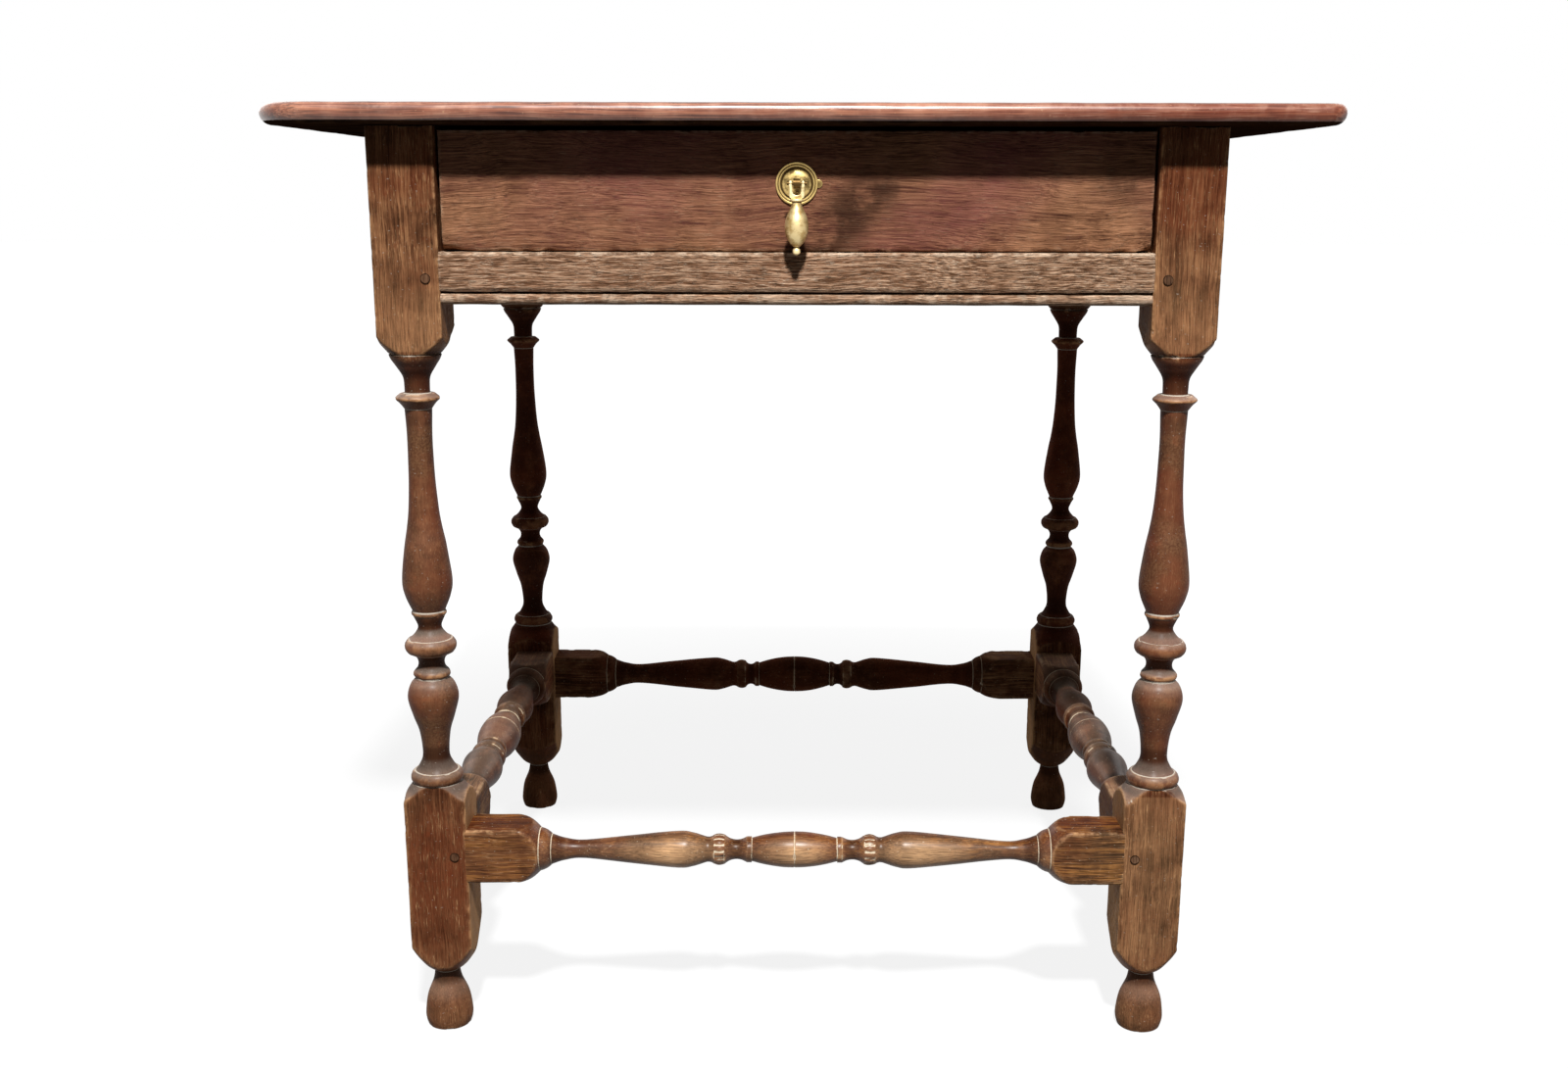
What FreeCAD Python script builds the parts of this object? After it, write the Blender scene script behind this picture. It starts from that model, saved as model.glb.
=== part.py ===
import FreeCAD, Part
import math
import os
from FreeCAD import Vector

# Turned oak tavern table with one long drawer.
# Millimetres. The origin is on the floor under the middle of the top, +Z is up, and the front faces -Y.

# Overall
table_height = 713.0
leg_spacing_x = 558.0            # between turning axes, left to right
leg_spacing_y = 480.0            # between turning axes, front to rear

# Top
top_thickness = 15.0
end_overhang = 75.0              # beyond the legs' side faces
front_overhang = 28.0            # beyond the legs' outer faces, front and rear
front_board_width = 216.0
rear_board_width = 196.0
top_upper_rounding = 6.0
top_lower_rounding = 8.5
worn_corner_radius = 42.0        # front left corner
top_corner_radius = 14.0         # the other three

# Leg squares
leg_width = 48.0                 # along X, centred on the turning
leg_outer_depth = 18.0           # turning axis to the planed outer face
leg_inner_depth = 30.0           # turning axis to the inner face

# Leg turning, from the floor up
foot_pad_radius = 17.2
foot_radius = 18.8
foot_widest_height = 11.0
foot_height = 47.0
foot_neck_radius = 9.8
lower_square_height = 159.5      # with its pommel at each end
foot_pommel_height = 34.0
collar_pommel_height = 22.0
collar_quirk_radius = 18.8
collar_height = 9.6
collar_radius = 20.3
cyma_height = 13.0
lower_neck_radius = 10.3
lower_vase_height = 61.0
lower_vase_radius = 19.5
lip_height = 6.4
lip_radius = 14.3
cove_height = 12.8
cove_radius = 10.0
ring_height = 12.6
ring_radius = 19.8
ring_foot_radius = 13.6
ring_edge_radius = 16.9
ring_quirk_radius = 16.0
waist_height = 18.2
waist_radius = 9.0
fillet_height = 3.8
fillet_radius = 13.4
tall_vase_radius = 19.0
tall_vase_swell_height = 24.3    # fillet to the widest point
tall_neck_radius = 9.5
top_ring_height = 11.6
top_ring_radius = 16.6
neck_height = 12.0
neck_radius = 9.4
bell_height = 16.5
bell_radius = 19.4
top_quirk_radius = 17.5
top_quirk_height = 0.9
top_pommel_height = 18.0
rail_to_quirk = 36.4             # lower edge of the rails to the quirk under the square

# Rails
apron_height = 124.0
front_rail_height = 37.5
front_rail_thickness = 25.0
front_rail_setback = 1.0
apron_rail_thickness = 22.0
apron_rail_setback = 3.0
bead_height = 8.6
bead_quirk_width = 1.6
rail_tenon_thickness = 9.0
rail_tenon_setback = 8.0         # outer face of the leg to the tenon
side_tenon_setback = 10.0
long_tenon_length = 34.0         # front and back rails
short_tenon_length = 28.0        # side rails
tenon_shoulder = 3.0             # above and below each rail tenon
mortise_end_gap = 1.0

# Stretchers
stretcher_below_collar = 57.5    # axis of the front and rear stretchers to the legs' collars
side_stretcher_rise = 11.0       # side stretchers sit higher, so that the tenons miss each other
side_stretcher_inset = 4.0       # their axes lie this far inside the legs' axes
stretcher_square_height = 44.0
stretcher_square_length = 55.0
stretcher_inner_depth = 20.0     # axis to the inner face
stretcher_tenon_thickness = 10.0
stretcher_tenon_height = 30.0
stretcher_tenon_length = 30.0
side_stretcher_tenon_length = 23.0
stretcher_pommel_length = 20.0
stretcher_collar_length = 9.0
stretcher_collar_radius = 20.2
stretcher_flare_radius = 15.1
stretcher_neck_radius = 10.4
stretcher_belly_radius = 17.6
stretcher_belly_length = 20.5    # widest point to the groove beside the ring
stretcher_groove_length = 7.4
stretcher_groove_radius = 13.0
stretcher_ring_length = 8.4
stretcher_ring_radius = 15.6
stretcher_cove_length = 10.6
stretcher_cove_radius = 10.9
stretcher_fillet_length = 3.8
stretcher_fillet_radius = 13.4
barrel_half_length = 37.8
barrel_radius = 19.0
barrel_end_radius = 12.4
front_stretcher_wear = 3.0       # worn off the radius of the front one's turning by feet
front_barrel_half_length = 33.6
front_barrel_radius = 14.3
front_cove_length = 17.6

# Pegs and nails
peg_radius = 3.6
peg_length = 32.0
peg_stand = 0.6
peg_from_shoulder = 10.0         # leg's inner face to the peg
top_peg_radius = 4.0
top_peg_length = 42.0
side_top_peg_spacing = 176.0
back_top_peg_spacing = 300.0
nail_radius = 1.4
nail_head_radius = 3.0
nail_head_thickness = 1.2
nail_bite = 11.0                 # how far a nail enters the second piece

# Drawer support
runner_width = 22.0              # inside the drawer's way
runner_thickness = 20.0
runner_stub_length = 6.0
guide_height = 22.0
stop_thickness = 11.0
stop_width = 30.0
stop_height = 40.0
stop_spacing = 254.0
runner_nail_spacing = 150.0

# Drawer
drawer_setback = 6.0             # front face behind the legs' faces
drawer_side_gap = 1.5
drawer_top_gap = 2.5
drawer_bottom_gap = 0.3
drawer_stop_gap = 0.3
drawer_front_thickness = 20.0
drawer_side_thickness = 12.0
drawer_back_thickness = 12.0
drawer_bottom_thickness = 8.0
drawer_side_drop = 6.0           # sides lie this far under the front's top edge
side_rebate_depth = 12.0         # how far the sides lap into the front
bottom_rebate_depth = 6.0
bottom_board_width = 236.0       # the front one of the two
bottom_nail_count = 6            # on each side
side_nail_count = 3              # at each corner

# Drop pull
pull_standoff = 18.0             # drawer face to the hinge of the drop
pull_below_top = 39.0            # underside of the top to the hinge
plate_radius = 15.0
plate_rim_thickness = 1.4
plate_moulding_width = 1.8
plate_dome_height = 4.6
plate_ear_reach = 3.4
plate_ear_width = 5.0
cotter_eye_radius = 3.4
cotter_eye_width = 5.0
cotter_shank_radius = 1.7
cotter_leg_length = 13.0
cotter_leg_thickness = 1.5
pin_radius = 1.2
pin_fit = 0.08
pin_stand = 1.4
stirrup_gap = 0.6                # eye to each arm
stirrup_wire = 2.5
stirrup_boss_radius = 2.0
stirrup_drop = 10.4              # hinge to the top of the collar
drop_collar_radius = 4.8
drop_collar_height = 1.8
drop_neck_radius = 2.8
drop_length = 31.2               # collar to the finial
drop_radius = 8.3
finial_radius = 2.8
finial_neck_radius = 1.7

# Derived places
underside = table_height - top_thickness
rail_bottom = underside - apron_height
front_rail_top = rail_bottom + front_rail_height
axis_x = leg_spacing_x / 2
axis_y = leg_spacing_y / 2
leg_outer_x = axis_x + leg_width / 2
leg_inner_x = axis_x - leg_width / 2
leg_outer_y = axis_y + leg_outer_depth
leg_inner_y = axis_y - leg_inner_depth
leg_reach = math.hypot(leg_width / 2, leg_inner_depth)
top_half_x = leg_outer_x + end_overhang
top_half_y = leg_outer_y + front_overhang
front_rail_outer_y = leg_outer_y - front_rail_setback
front_rail_inner_y = front_rail_outer_y - front_rail_thickness
back_rail_outer_y = leg_outer_y - apron_rail_setback
back_rail_inner_y = back_rail_outer_y - apron_rail_thickness
side_rail_outer_x = leg_outer_x - apron_rail_setback
side_rail_inner_x = side_rail_outer_x - apron_rail_thickness
stretcher_level = foot_height + lower_square_height - stretcher_below_collar
side_stretcher_level = stretcher_level + side_stretcher_rise
side_stretcher_x = axis_x - side_stretcher_inset
drawer_half_x = leg_inner_x - drawer_side_gap
drawer_floor = front_rail_top + drawer_bottom_gap
drawer_roof = underside - drawer_top_gap
drawer_face_y = -leg_outer_y + drawer_setback
drawer_front_back_y = drawer_face_y + drawer_front_thickness
drawer_rear_y = back_rail_inner_y - stop_thickness - drawer_stop_gap
drawer_side_top = drawer_roof - drawer_side_drop
drawer_side_bottom = drawer_floor + drawer_bottom_thickness
pull_y = drawer_face_y - pull_standoff
pull_z = underside - pull_below_top
pin_half_length = cotter_eye_width / 2 + stirrup_gap + stirrup_wire + pin_stand

X = Vector(1, 0, 0)
Y = Vector(0, 1, 0)
Z = Vector(0, 0, 1)
ORIGIN = Vector(0, 0, 0)


def box(x, y, z):
    """Box between two limits on each axis, in either order."""
    low = Vector(min(x), min(y), min(z))
    return Part.makeBox(max(x) - low.x, max(y) - low.y, max(z) - low.z, low)


def rod(start, direction, length, radius):
    return Part.makeCylinder(radius, length, start, direction)


def fuse_all(shapes):
    return shapes[0].multiFuse(shapes[1:])


def mirrored(shape, normal):
    return shape.mirror(ORIGIN, normal)


def both_sides(shapes, normal):
    return shapes + [mirrored(shape, normal) for shape in shapes]


def between(start, end, share):
    return start + share * (end - start)


class Outline:
    """Half section of a turning, drawn upwards from the axis; points are (radius, height)."""

    def __init__(self):
        self.edges = []
        self.last = ORIGIN

    def line(self, radius, height):
        end = Vector(radius, 0, height)
        self.edges.append(Part.LineSegment(self.last, end).toShape())
        self.last = end

    def arc(self, middle, end):
        middle = Vector(middle[0], 0, middle[1])
        end = Vector(end[0], 0, end[1])
        self.edges.append(Part.Arc(self.last, middle, end).toShape())
        self.last = end

    def curve(self, *points):
        points = [self.last] + [Vector(radius, 0, height) for radius, height in points]
        spline = Part.BSplineCurve()
        spline.interpolate(points)
        self.edges.append(spline.toShape())
        self.last = points[-1]

    def cap(self, height):
        """Spherical cap that ends on the axis."""
        rise = height - self.last.z
        sphere = (self.last.x ** 2 + rise ** 2) / (2 * rise)
        half_angle = math.asin(self.last.x / sphere) / 2
        middle = (sphere * math.sin(half_angle), height - sphere * (1 - math.cos(half_angle)))
        self.arc(middle, (0, height))

    def solid(self):
        if self.last.x > 0:
            self.line(0, self.last.z)
        axis = Part.LineSegment(self.last, ORIGIN).toShape()
        face = Part.Face(Part.Wire(self.edges + [axis]))
        return face.revolve(ORIGIN, Z, 360)


def turned_leg_heights():
    """Height of each member's lower edge above the floor."""
    names = ["square", "collar", "cyma", "vase", "lip", "cove", "ring", "waist", "fillet", "tall_vase"]
    sizes = [foot_height, lower_square_height, collar_height, cyma_height, lower_vase_height,
             lip_height, cove_height, ring_height, waist_height, fillet_height]
    heights = {}
    level = 0.0
    for name, size in zip(names, sizes):
        level += size
        heights[name] = level
    heights["quirk"] = rail_bottom - rail_to_quirk
    heights["bell"] = heights["quirk"] - bell_height
    heights["neck"] = heights["bell"] - neck_height
    heights["top_ring"] = heights["neck"] - top_ring_height
    return heights


def draw_foot(outline):
    """Pear-shaped foot that narrows to a neck under the square."""
    outline.line(foot_pad_radius, 0)
    shoulder = between(foot_widest_height, foot_height, 0.39)
    ankle = between(foot_widest_height, foot_height, 0.75)
    outline.curve((between(foot_pad_radius, foot_radius, 0.88), 0.45 * foot_widest_height),
                  (foot_radius, foot_widest_height),
                  (between(foot_neck_radius, foot_radius, 0.75), shoulder),
                  (between(foot_neck_radius, foot_radius, 0.19), ankle),
                  (foot_neck_radius, foot_height))


def draw_lower_square(outline, heights):
    """Round reach of the lower square, with a pommel at each end."""
    bottom = heights["square"]
    top = heights["collar"]
    outline.curve((between(foot_neck_radius, leg_reach, 0.24), bottom + 0.15 * foot_pommel_height),
                  (between(foot_neck_radius, leg_reach, 0.49), bottom + 0.43 * foot_pommel_height),
                  (between(foot_neck_radius, leg_reach, 0.69), bottom + 0.70 * foot_pommel_height),
                  (leg_reach, bottom + foot_pommel_height))
    outline.line(leg_reach, top - collar_pommel_height)
    outline.curve((between(collar_quirk_radius, leg_reach, 0.56), top - 0.55 * collar_pommel_height),
                  (between(collar_quirk_radius, leg_reach, 0.26), top - 0.30 * collar_pommel_height),
                  (between(collar_quirk_radius, leg_reach, 0.06), top - 0.07 * collar_pommel_height))
    outline.line(collar_quirk_radius, top)


def draw_base(outline, heights):
    """Collar, cyma and the small vase that stand on the lower square."""
    collar = heights["collar"]
    cyma = heights["cyma"]
    vase = heights["vase"]
    outline.arc((collar_radius, collar + 0.5 * collar_height),
                (between(lower_neck_radius, collar_radius, 0.72), cyma))
    outline.line(between(lower_neck_radius, collar_radius, 0.60), cyma)
    outline.curve((between(lower_neck_radius, collar_radius, 0.28), cyma + 0.36 * cyma_height),
                  (lower_neck_radius, vase),
                  (between(lower_neck_radius, lower_vase_radius, 0.17), vase + 0.29 * lower_vase_height),
                  (between(lower_neck_radius, lower_vase_radius, 0.62), vase + 0.51 * lower_vase_height),
                  (lower_vase_radius, vase + 0.75 * lower_vase_height),
                  (between(lip_radius, lower_vase_radius, 0.55), vase + 0.92 * lower_vase_height),
                  (between(cove_radius, lip_radius, 0.80), heights["lip"]))


def draw_middle(outline, heights):
    """Lip, cove, ring, waist and fillet between the two vases."""
    lip = heights["lip"]
    cove = heights["cove"]
    ring = heights["ring"]
    waist = heights["waist"]
    fillet = heights["fillet"]
    outline.line(between(cove_radius, lip_radius, 0.60), lip + 0.15 * lip_height)
    outline.arc((lip_radius, lip + 0.62 * lip_height), (between(cove_radius, lip_radius, 0.75), cove))
    outline.arc((cove_radius, cove + 0.5 * cove_height), (ring_foot_radius, ring))
    outline.arc((ring_radius, ring + 0.51 * ring_height), (ring_edge_radius, waist))
    outline.line(ring_quirk_radius, waist)
    outline.curve((between(waist_radius, ring_radius, 0.40), waist + 0.13 * waist_height),
                  (between(waist_radius, ring_radius, 0.16), waist + 0.30 * waist_height),
                  (waist_radius, waist + 0.55 * waist_height),
                  (between(waist_radius, fillet_radius, 0.75), fillet))
    outline.arc((fillet_radius, fillet + 0.5 * fillet_height),
                (between(waist_radius, fillet_radius, 0.80), heights["tall_vase"]))


def draw_tall_vase(outline, heights):
    """Long vase up to the ring under the square."""
    foot = heights["tall_vase"]
    swell = foot + tall_vase_swell_height
    rise = heights["top_ring"] - swell
    outline.curve((between(fillet_radius, tall_vase_radius, 0.68), foot + 0.49 * tall_vase_swell_height),
                  (tall_vase_radius, swell),
                  (between(tall_neck_radius, tall_vase_radius, 0.68), swell + 0.19 * rise),
                  (between(tall_neck_radius, tall_vase_radius, 0.40), swell + 0.31 * rise),
                  (between(tall_neck_radius, tall_vase_radius, 0.20), swell + 0.42 * rise),
                  (between(tall_neck_radius, tall_vase_radius, 0.05), swell + 0.60 * rise),
                  (tall_neck_radius, swell + 0.83 * rise),
                  (between(tall_neck_radius, top_ring_radius, 0.10), heights["top_ring"]))


def draw_upper_end(outline, heights):
    """Ring, neck and bell under the upper square, then its pommel and the round reach of the square."""
    ring = heights["top_ring"]
    neck = heights["neck"]
    bell = heights["bell"]
    quirk = heights["quirk"]
    pommel = quirk + top_quirk_height
    outline.curve((between(tall_neck_radius, top_ring_radius, 0.54), ring + 0.36 * top_ring_height),
                  (top_ring_radius, ring + 0.68 * top_ring_height),
                  (between(neck_radius, top_ring_radius, 0.47), neck))
    outline.line(neck_radius, neck)
    outline.curve((neck_radius, neck + 0.35 * neck_height),
                  (between(neck_radius, bell_radius, 0.07), bell),
                  (between(neck_radius, bell_radius, 0.49), bell + 0.44 * bell_height),
                  (between(neck_radius, bell_radius, 0.88), bell + 0.80 * bell_height),
                  (bell_radius, quirk))
    outline.line(top_quirk_radius, quirk)
    outline.line(bell_radius, pommel)
    outline.curve((between(bell_radius, leg_reach, 0.24), pommel + 0.30 * top_pommel_height),
                  (between(bell_radius, leg_reach, 0.55), pommel + 0.66 * top_pommel_height),
                  (leg_reach, pommel + top_pommel_height))
    outline.line(leg_reach, underside)


def leg_stock(heights):
    """Square where the leg is square and round where it is turned, about an axis at the origin."""
    half = leg_width / 2
    faces = (-leg_outer_depth, leg_inner_depth)
    upper = box((-half, half), faces, (heights["bell"], underside))
    middle = rod(Vector(0, 0, heights["collar"]), Z, heights["bell"] - heights["collar"], half)
    lower = box((-half, half), faces, (heights["square"], heights["collar"]))
    foot = rod(ORIGIN, Z, heights["square"], half)
    return fuse_all([upper, middle, lower, foot])


def blank_leg():
    """Turned front left leg without mortises."""
    heights = turned_leg_heights()
    outline = Outline()
    draw_foot(outline)
    draw_lower_square(outline, heights)
    draw_base(outline, heights)
    draw_middle(outline, heights)
    draw_tall_vase(outline, heights)
    draw_upper_end(outline, heights)
    leg = outline.solid().common(leg_stock(heights))
    leg.translate(Vector(-axis_x, -axis_y, 0))
    return leg


def long_rail_tenon(top, gap=0.0):
    """Left tenon of the front rail, or of a full-height rail there; the gap deepens it into a mortise."""
    outer = -leg_outer_y + rail_tenon_setback
    return box((-leg_inner_x, -leg_inner_x - long_tenon_length - gap),
               (outer, outer + rail_tenon_thickness),
               (rail_bottom + tenon_shoulder, top - tenon_shoulder))


def side_rail_tenon(gap=0.0):
    """Front tenon of the left side rail."""
    outer = -leg_outer_x + side_tenon_setback
    return box((outer, outer + rail_tenon_thickness),
               (-leg_inner_y, -leg_inner_y - short_tenon_length - gap),
               (rail_bottom + tenon_shoulder, underside - tenon_shoulder))


def long_stretcher_tenon(gap=0.0):
    """Left tenon of the front stretcher."""
    half = stretcher_tenon_thickness / 2
    half_height = stretcher_tenon_height / 2
    return box((-leg_inner_x, -leg_inner_x - stretcher_tenon_length - gap),
               (-axis_y - half, -axis_y + half),
               (stretcher_level - half_height, stretcher_level + half_height))


def side_stretcher_tenon(gap=0.0):
    """Front tenon of the left side stretcher."""
    half = stretcher_tenon_thickness / 2
    half_height = stretcher_tenon_height / 2
    return box((-side_stretcher_x - half, -side_stretcher_x + half),
               (-leg_inner_y, -leg_inner_y - side_stretcher_tenon_length - gap),
               (side_stretcher_level - half_height, side_stretcher_level + half_height))


def front_peg(height):
    """Peg driven from the front face of the front left leg."""
    start = Vector(-leg_inner_x - peg_from_shoulder, -leg_outer_y - peg_stand, height)
    return rod(start, Y, peg_length, peg_radius)


def side_peg(height, tenon_length):
    """Peg driven from the outer side of the front left leg through the middle of a side tenon."""
    start = Vector(-leg_outer_x - peg_stand, -leg_inner_y - tenon_length / 2, height)
    return rod(start, X, peg_length, peg_radius)


def full_rail_peg_heights():
    """Two pegs in each joint of a rail that has the apron's whole height."""
    return [rail_bottom + apron_height / 4, underside - apron_height / 4]


def side_rail_pegs():
    return [side_peg(height, short_tenon_length) for height in full_rail_peg_heights()]


def front_left_rail_pegs():
    return [front_peg(rail_bottom + front_rail_height / 2)] + side_rail_pegs()


def rear_left_rail_pegs():
    """Pegs of the rear left leg, as they lie before mirroring to the rear."""
    return [front_peg(height) for height in full_rail_peg_heights()] + side_rail_pegs()


def left_stretcher_pegs():
    return [front_peg(stretcher_level), side_peg(side_stretcher_level, side_stretcher_tenon_length)]


def jointed_leg(long_rail_top, rail_pegs):
    """Front left leg, mortised for a rail of the given top on its long side."""
    cuts = [long_rail_tenon(long_rail_top, mortise_end_gap), side_rail_tenon(mortise_end_gap),
            long_stretcher_tenon(mortise_end_gap), side_stretcher_tenon(mortise_end_gap)]
    return blank_leg().cut(cuts + rail_pegs + left_stretcher_pegs())


def front_left_leg():
    return jointed_leg(front_rail_top, front_left_rail_pegs())


def rear_left_leg():
    return mirrored(jointed_leg(underside, rear_left_rail_pegs()), Y)


def beaded_rail_section():
    """Front rail's end section, with a quirked bead along its lower front edge."""
    outer = -front_rail_outer_y
    inner = -front_rail_inner_y
    radius = bead_height / 2
    bead_top = rail_bottom + bead_height
    start = Vector(0, inner, rail_bottom)
    bead_foot = Vector(0, outer + radius, rail_bottom)
    bead_nose = Vector(0, outer, rail_bottom + radius)
    bead_end = Vector(0, outer + radius, bead_top)
    edges = [Part.LineSegment(start, bead_foot).toShape(), Part.Arc(bead_foot, bead_nose, bead_end).toShape()]
    corners = [bead_end, Vector(0, outer, bead_top + bead_quirk_width), Vector(0, outer, front_rail_top),
               Vector(0, inner, front_rail_top), start]
    for first, second in zip(corners, corners[1:]):
        edges.append(Part.LineSegment(first, second).toShape())
    return Part.Face(Part.Wire(edges))


def runner_core():
    """Inner strip of the left runner, which reaches into the front and back rails."""
    return box((-leg_inner_x, -leg_inner_x + runner_width),
               (-front_rail_inner_y - runner_stub_length, back_rail_inner_y + runner_stub_length),
               (front_rail_top - runner_thickness, front_rail_top))


def front_rail():
    rail = beaded_rail_section().extrude(Vector(2 * leg_inner_x, 0, 0))
    rail.translate(Vector(-leg_inner_x, 0, 0))
    rail = fuse_all([rail] + both_sides([long_rail_tenon(front_rail_top)], X))
    return rail.cut(both_sides([runner_core(), front_left_rail_pegs()[0]], X))


def back_rail():
    rail = box((-leg_inner_x, leg_inner_x), (back_rail_inner_y, back_rail_outer_y), (rail_bottom, underside))
    rail = fuse_all([rail] + both_sides([mirrored(long_rail_tenon(underside), Y)], X))
    pegs = [mirrored(front_peg(height), Y) for height in full_rail_peg_heights()]
    return rail.cut(both_sides([runner_core()] + pegs, X) + back_top_pegs() + stop_nails())


def side_rail():
    """Left side rail."""
    rail = box((-side_rail_outer_x, -side_rail_inner_x), (-leg_inner_y, leg_inner_y),
               (rail_bottom, underside))
    rail = fuse_all([rail] + both_sides([side_rail_tenon()], Y))
    return rail.cut(both_sides(side_rail_pegs(), Y) + side_top_pegs() + left_runner_nails())


def stretcher_turning(half_length, worn):
    """Turning of a stretcher along +Z about its middle, round all over; the front one is worn."""
    barrel_half = front_barrel_half_length if worn else barrel_half_length
    barrel_middle = front_barrel_radius if worn else barrel_radius
    cove_length = front_cove_length if worn else stretcher_cove_length
    wear = front_stretcher_wear if worn else 0.0
    barrel_end = barrel_end_radius - wear
    fillet = stretcher_fillet_radius - wear
    cove = stretcher_cove_radius - wear
    ring = stretcher_ring_radius - wear
    groove = stretcher_groove_radius - wear
    belly = stretcher_belly_radius - wear
    neck = stretcher_neck_radius - wear
    flare = stretcher_flare_radius - wear
    collar = stretcher_collar_radius - wear
    reach = math.hypot(stretcher_square_height / 2, stretcher_inner_depth)

    square_start = half_length - stretcher_square_length
    collar_start = square_start - stretcher_collar_length
    fillet_end = barrel_half + stretcher_fillet_length
    cove_end = fillet_end + cove_length
    ring_end = cove_end + stretcher_ring_length
    groove_end = ring_end + stretcher_groove_length
    swell = groove_end + stretcher_belly_length
    taper = collar_start - swell
    ring_edge = between(groove, ring, 0.6)

    outline = Outline()
    outline.line(barrel_middle, 0)
    outline.arc((between(barrel_end, barrel_middle, 0.75), 0.5 * barrel_half), (barrel_end, barrel_half))
    outline.line(fillet, barrel_half)
    outline.line(fillet, fillet_end)
    outline.arc((cove, fillet_end + 0.5 * cove_length), (ring_edge, cove_end))
    outline.arc((ring, cove_end + 0.5 * stretcher_ring_length), (ring_edge, ring_end))
    outline.arc((groove, ring_end + 0.5 * stretcher_groove_length),
                (between(groove, belly, 0.15), groove_end))
    outline.curve((between(groove, belly, 0.75), groove_end + 0.45 * stretcher_belly_length),
                  (belly, swell),
                  (between(neck, belly, 0.55), swell + 0.35 * taper),
                  (neck, swell + 0.74 * taper),
                  (between(neck, flare, 0.35), swell + 0.90 * taper),
                  (flare, collar_start))
    outline.arc((between(flare, collar, 0.65), between(collar_start, square_start, 0.45)),
                (collar, square_start))
    outline.arc((between(collar, reach, 0.65), square_start + 0.5 * stretcher_pommel_length),
                (reach, square_start + stretcher_pommel_length))
    outline.line(reach, half_length)
    half = outline.solid()
    return half.fuse(half.mirror(ORIGIN, Z))


def stretcher_body(half_length, worn=False):
    """Stretcher along +X at the origin, its planed outer face towards -Y, without tenons."""
    turning = stretcher_turning(half_length, worn)
    turning.rotate(ORIGIN, Y, 90)
    square_start = half_length - stretcher_square_length
    half_height = stretcher_square_height / 2
    square = box((square_start, half_length), (-leg_outer_depth, stretcher_inner_depth),
                 (-half_height, half_height))
    round_part = rod(Vector(-square_start, 0, 0), X, 2 * square_start, half_height)
    return turning.common(fuse_all([round_part] + both_sides([square], X)))


def long_stretcher(worn):
    """Front stretcher; the rear one is its mirror image, unworn."""
    body = stretcher_body(leg_inner_x, worn)
    body.translate(Vector(0, -axis_y, stretcher_level))
    body = fuse_all([body] + both_sides([long_stretcher_tenon()], X))
    return body.cut(both_sides([front_peg(stretcher_level)], X))


def side_stretcher():
    """Left side stretcher."""
    body = stretcher_body(leg_inner_y)
    body.rotate(ORIGIN, Z, -90)
    body.translate(Vector(-side_stretcher_x, 0, side_stretcher_level))
    body = fuse_all([body] + both_sides([side_stretcher_tenon()], Y))
    return body.cut(both_sides([side_peg(side_stretcher_level, side_stretcher_tenon_length)], Y))


def is_upright_at(edge, x, y):
    """True for the slab's vertical edge at a corner."""
    return all(abs(v.X - x) < 0.01 and abs(v.Y - y) < 0.01 for v in edge.Vertexes)


def lies_at_height(edge, height):
    return all(abs(v.Z - height) < 0.01 for v in edge.Vertexes)


def top_slab():
    """Whole top before it is parted into boards."""
    corners = [(-top_half_x, -top_half_y, worn_corner_radius), (top_half_x, -top_half_y, top_corner_radius),
               (top_half_x, top_half_y, top_corner_radius), (-top_half_x, top_half_y, top_corner_radius)]
    slab = box((-top_half_x, top_half_x), (-top_half_y, top_half_y), (underside, table_height))
    for x, y, radius in corners:
        slab = slab.makeFillet(radius, [edge for edge in slab.Edges if is_upright_at(edge, x, y)])
    upper = [edge for edge in slab.Edges if lies_at_height(edge, table_height)]
    slab = slab.makeFillet(top_upper_rounding, upper)
    lower = [edge for edge in slab.Edges if lies_at_height(edge, underside)]
    return slab.makeFillet(top_lower_rounding, lower)


def top_boards():
    """Three boards, edge to edge along the table."""
    front_seam = -top_half_y + front_board_width
    rear_seam = top_half_y - rear_board_width
    slab = top_slab().cut(both_sides(side_top_pegs(), X) + back_top_pegs())
    spans = {"top_board_front": (-top_half_y, front_seam),
             "top_board_middle": (front_seam, rear_seam),
             "top_board_rear": (rear_seam, top_half_y)}
    boards = {}
    for name, span in spans.items():
        boards[name] = slab.common(box((-top_half_x, top_half_x), span, (underside, table_height)))
    return boards


def top_peg(x, y):
    """Peg driven down through the top, flush with it."""
    return rod(Vector(x, y, table_height - top_peg_length), Z, top_peg_length, top_peg_radius)


def side_top_pegs():
    """Pegs through the top into the left side rail."""
    middle = -(side_rail_outer_x + side_rail_inner_x) / 2
    return [top_peg(middle, place * side_top_peg_spacing) for place in (-1, 0, 1)]


def back_top_pegs():
    """Pegs through the top into the back rail."""
    middle = (back_rail_outer_y + back_rail_inner_y) / 2
    return [top_peg(side * back_top_peg_spacing / 2, middle) for side in (-1, 1)]


def nail(head, direction, cover):
    """Nail with a flush head that passes through a cover and bites into the piece behind it."""
    shank = rod(head, direction, cover + nail_bite, nail_radius)
    return rod(head, direction, nail_head_thickness, nail_head_radius).fuse(shank)


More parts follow.
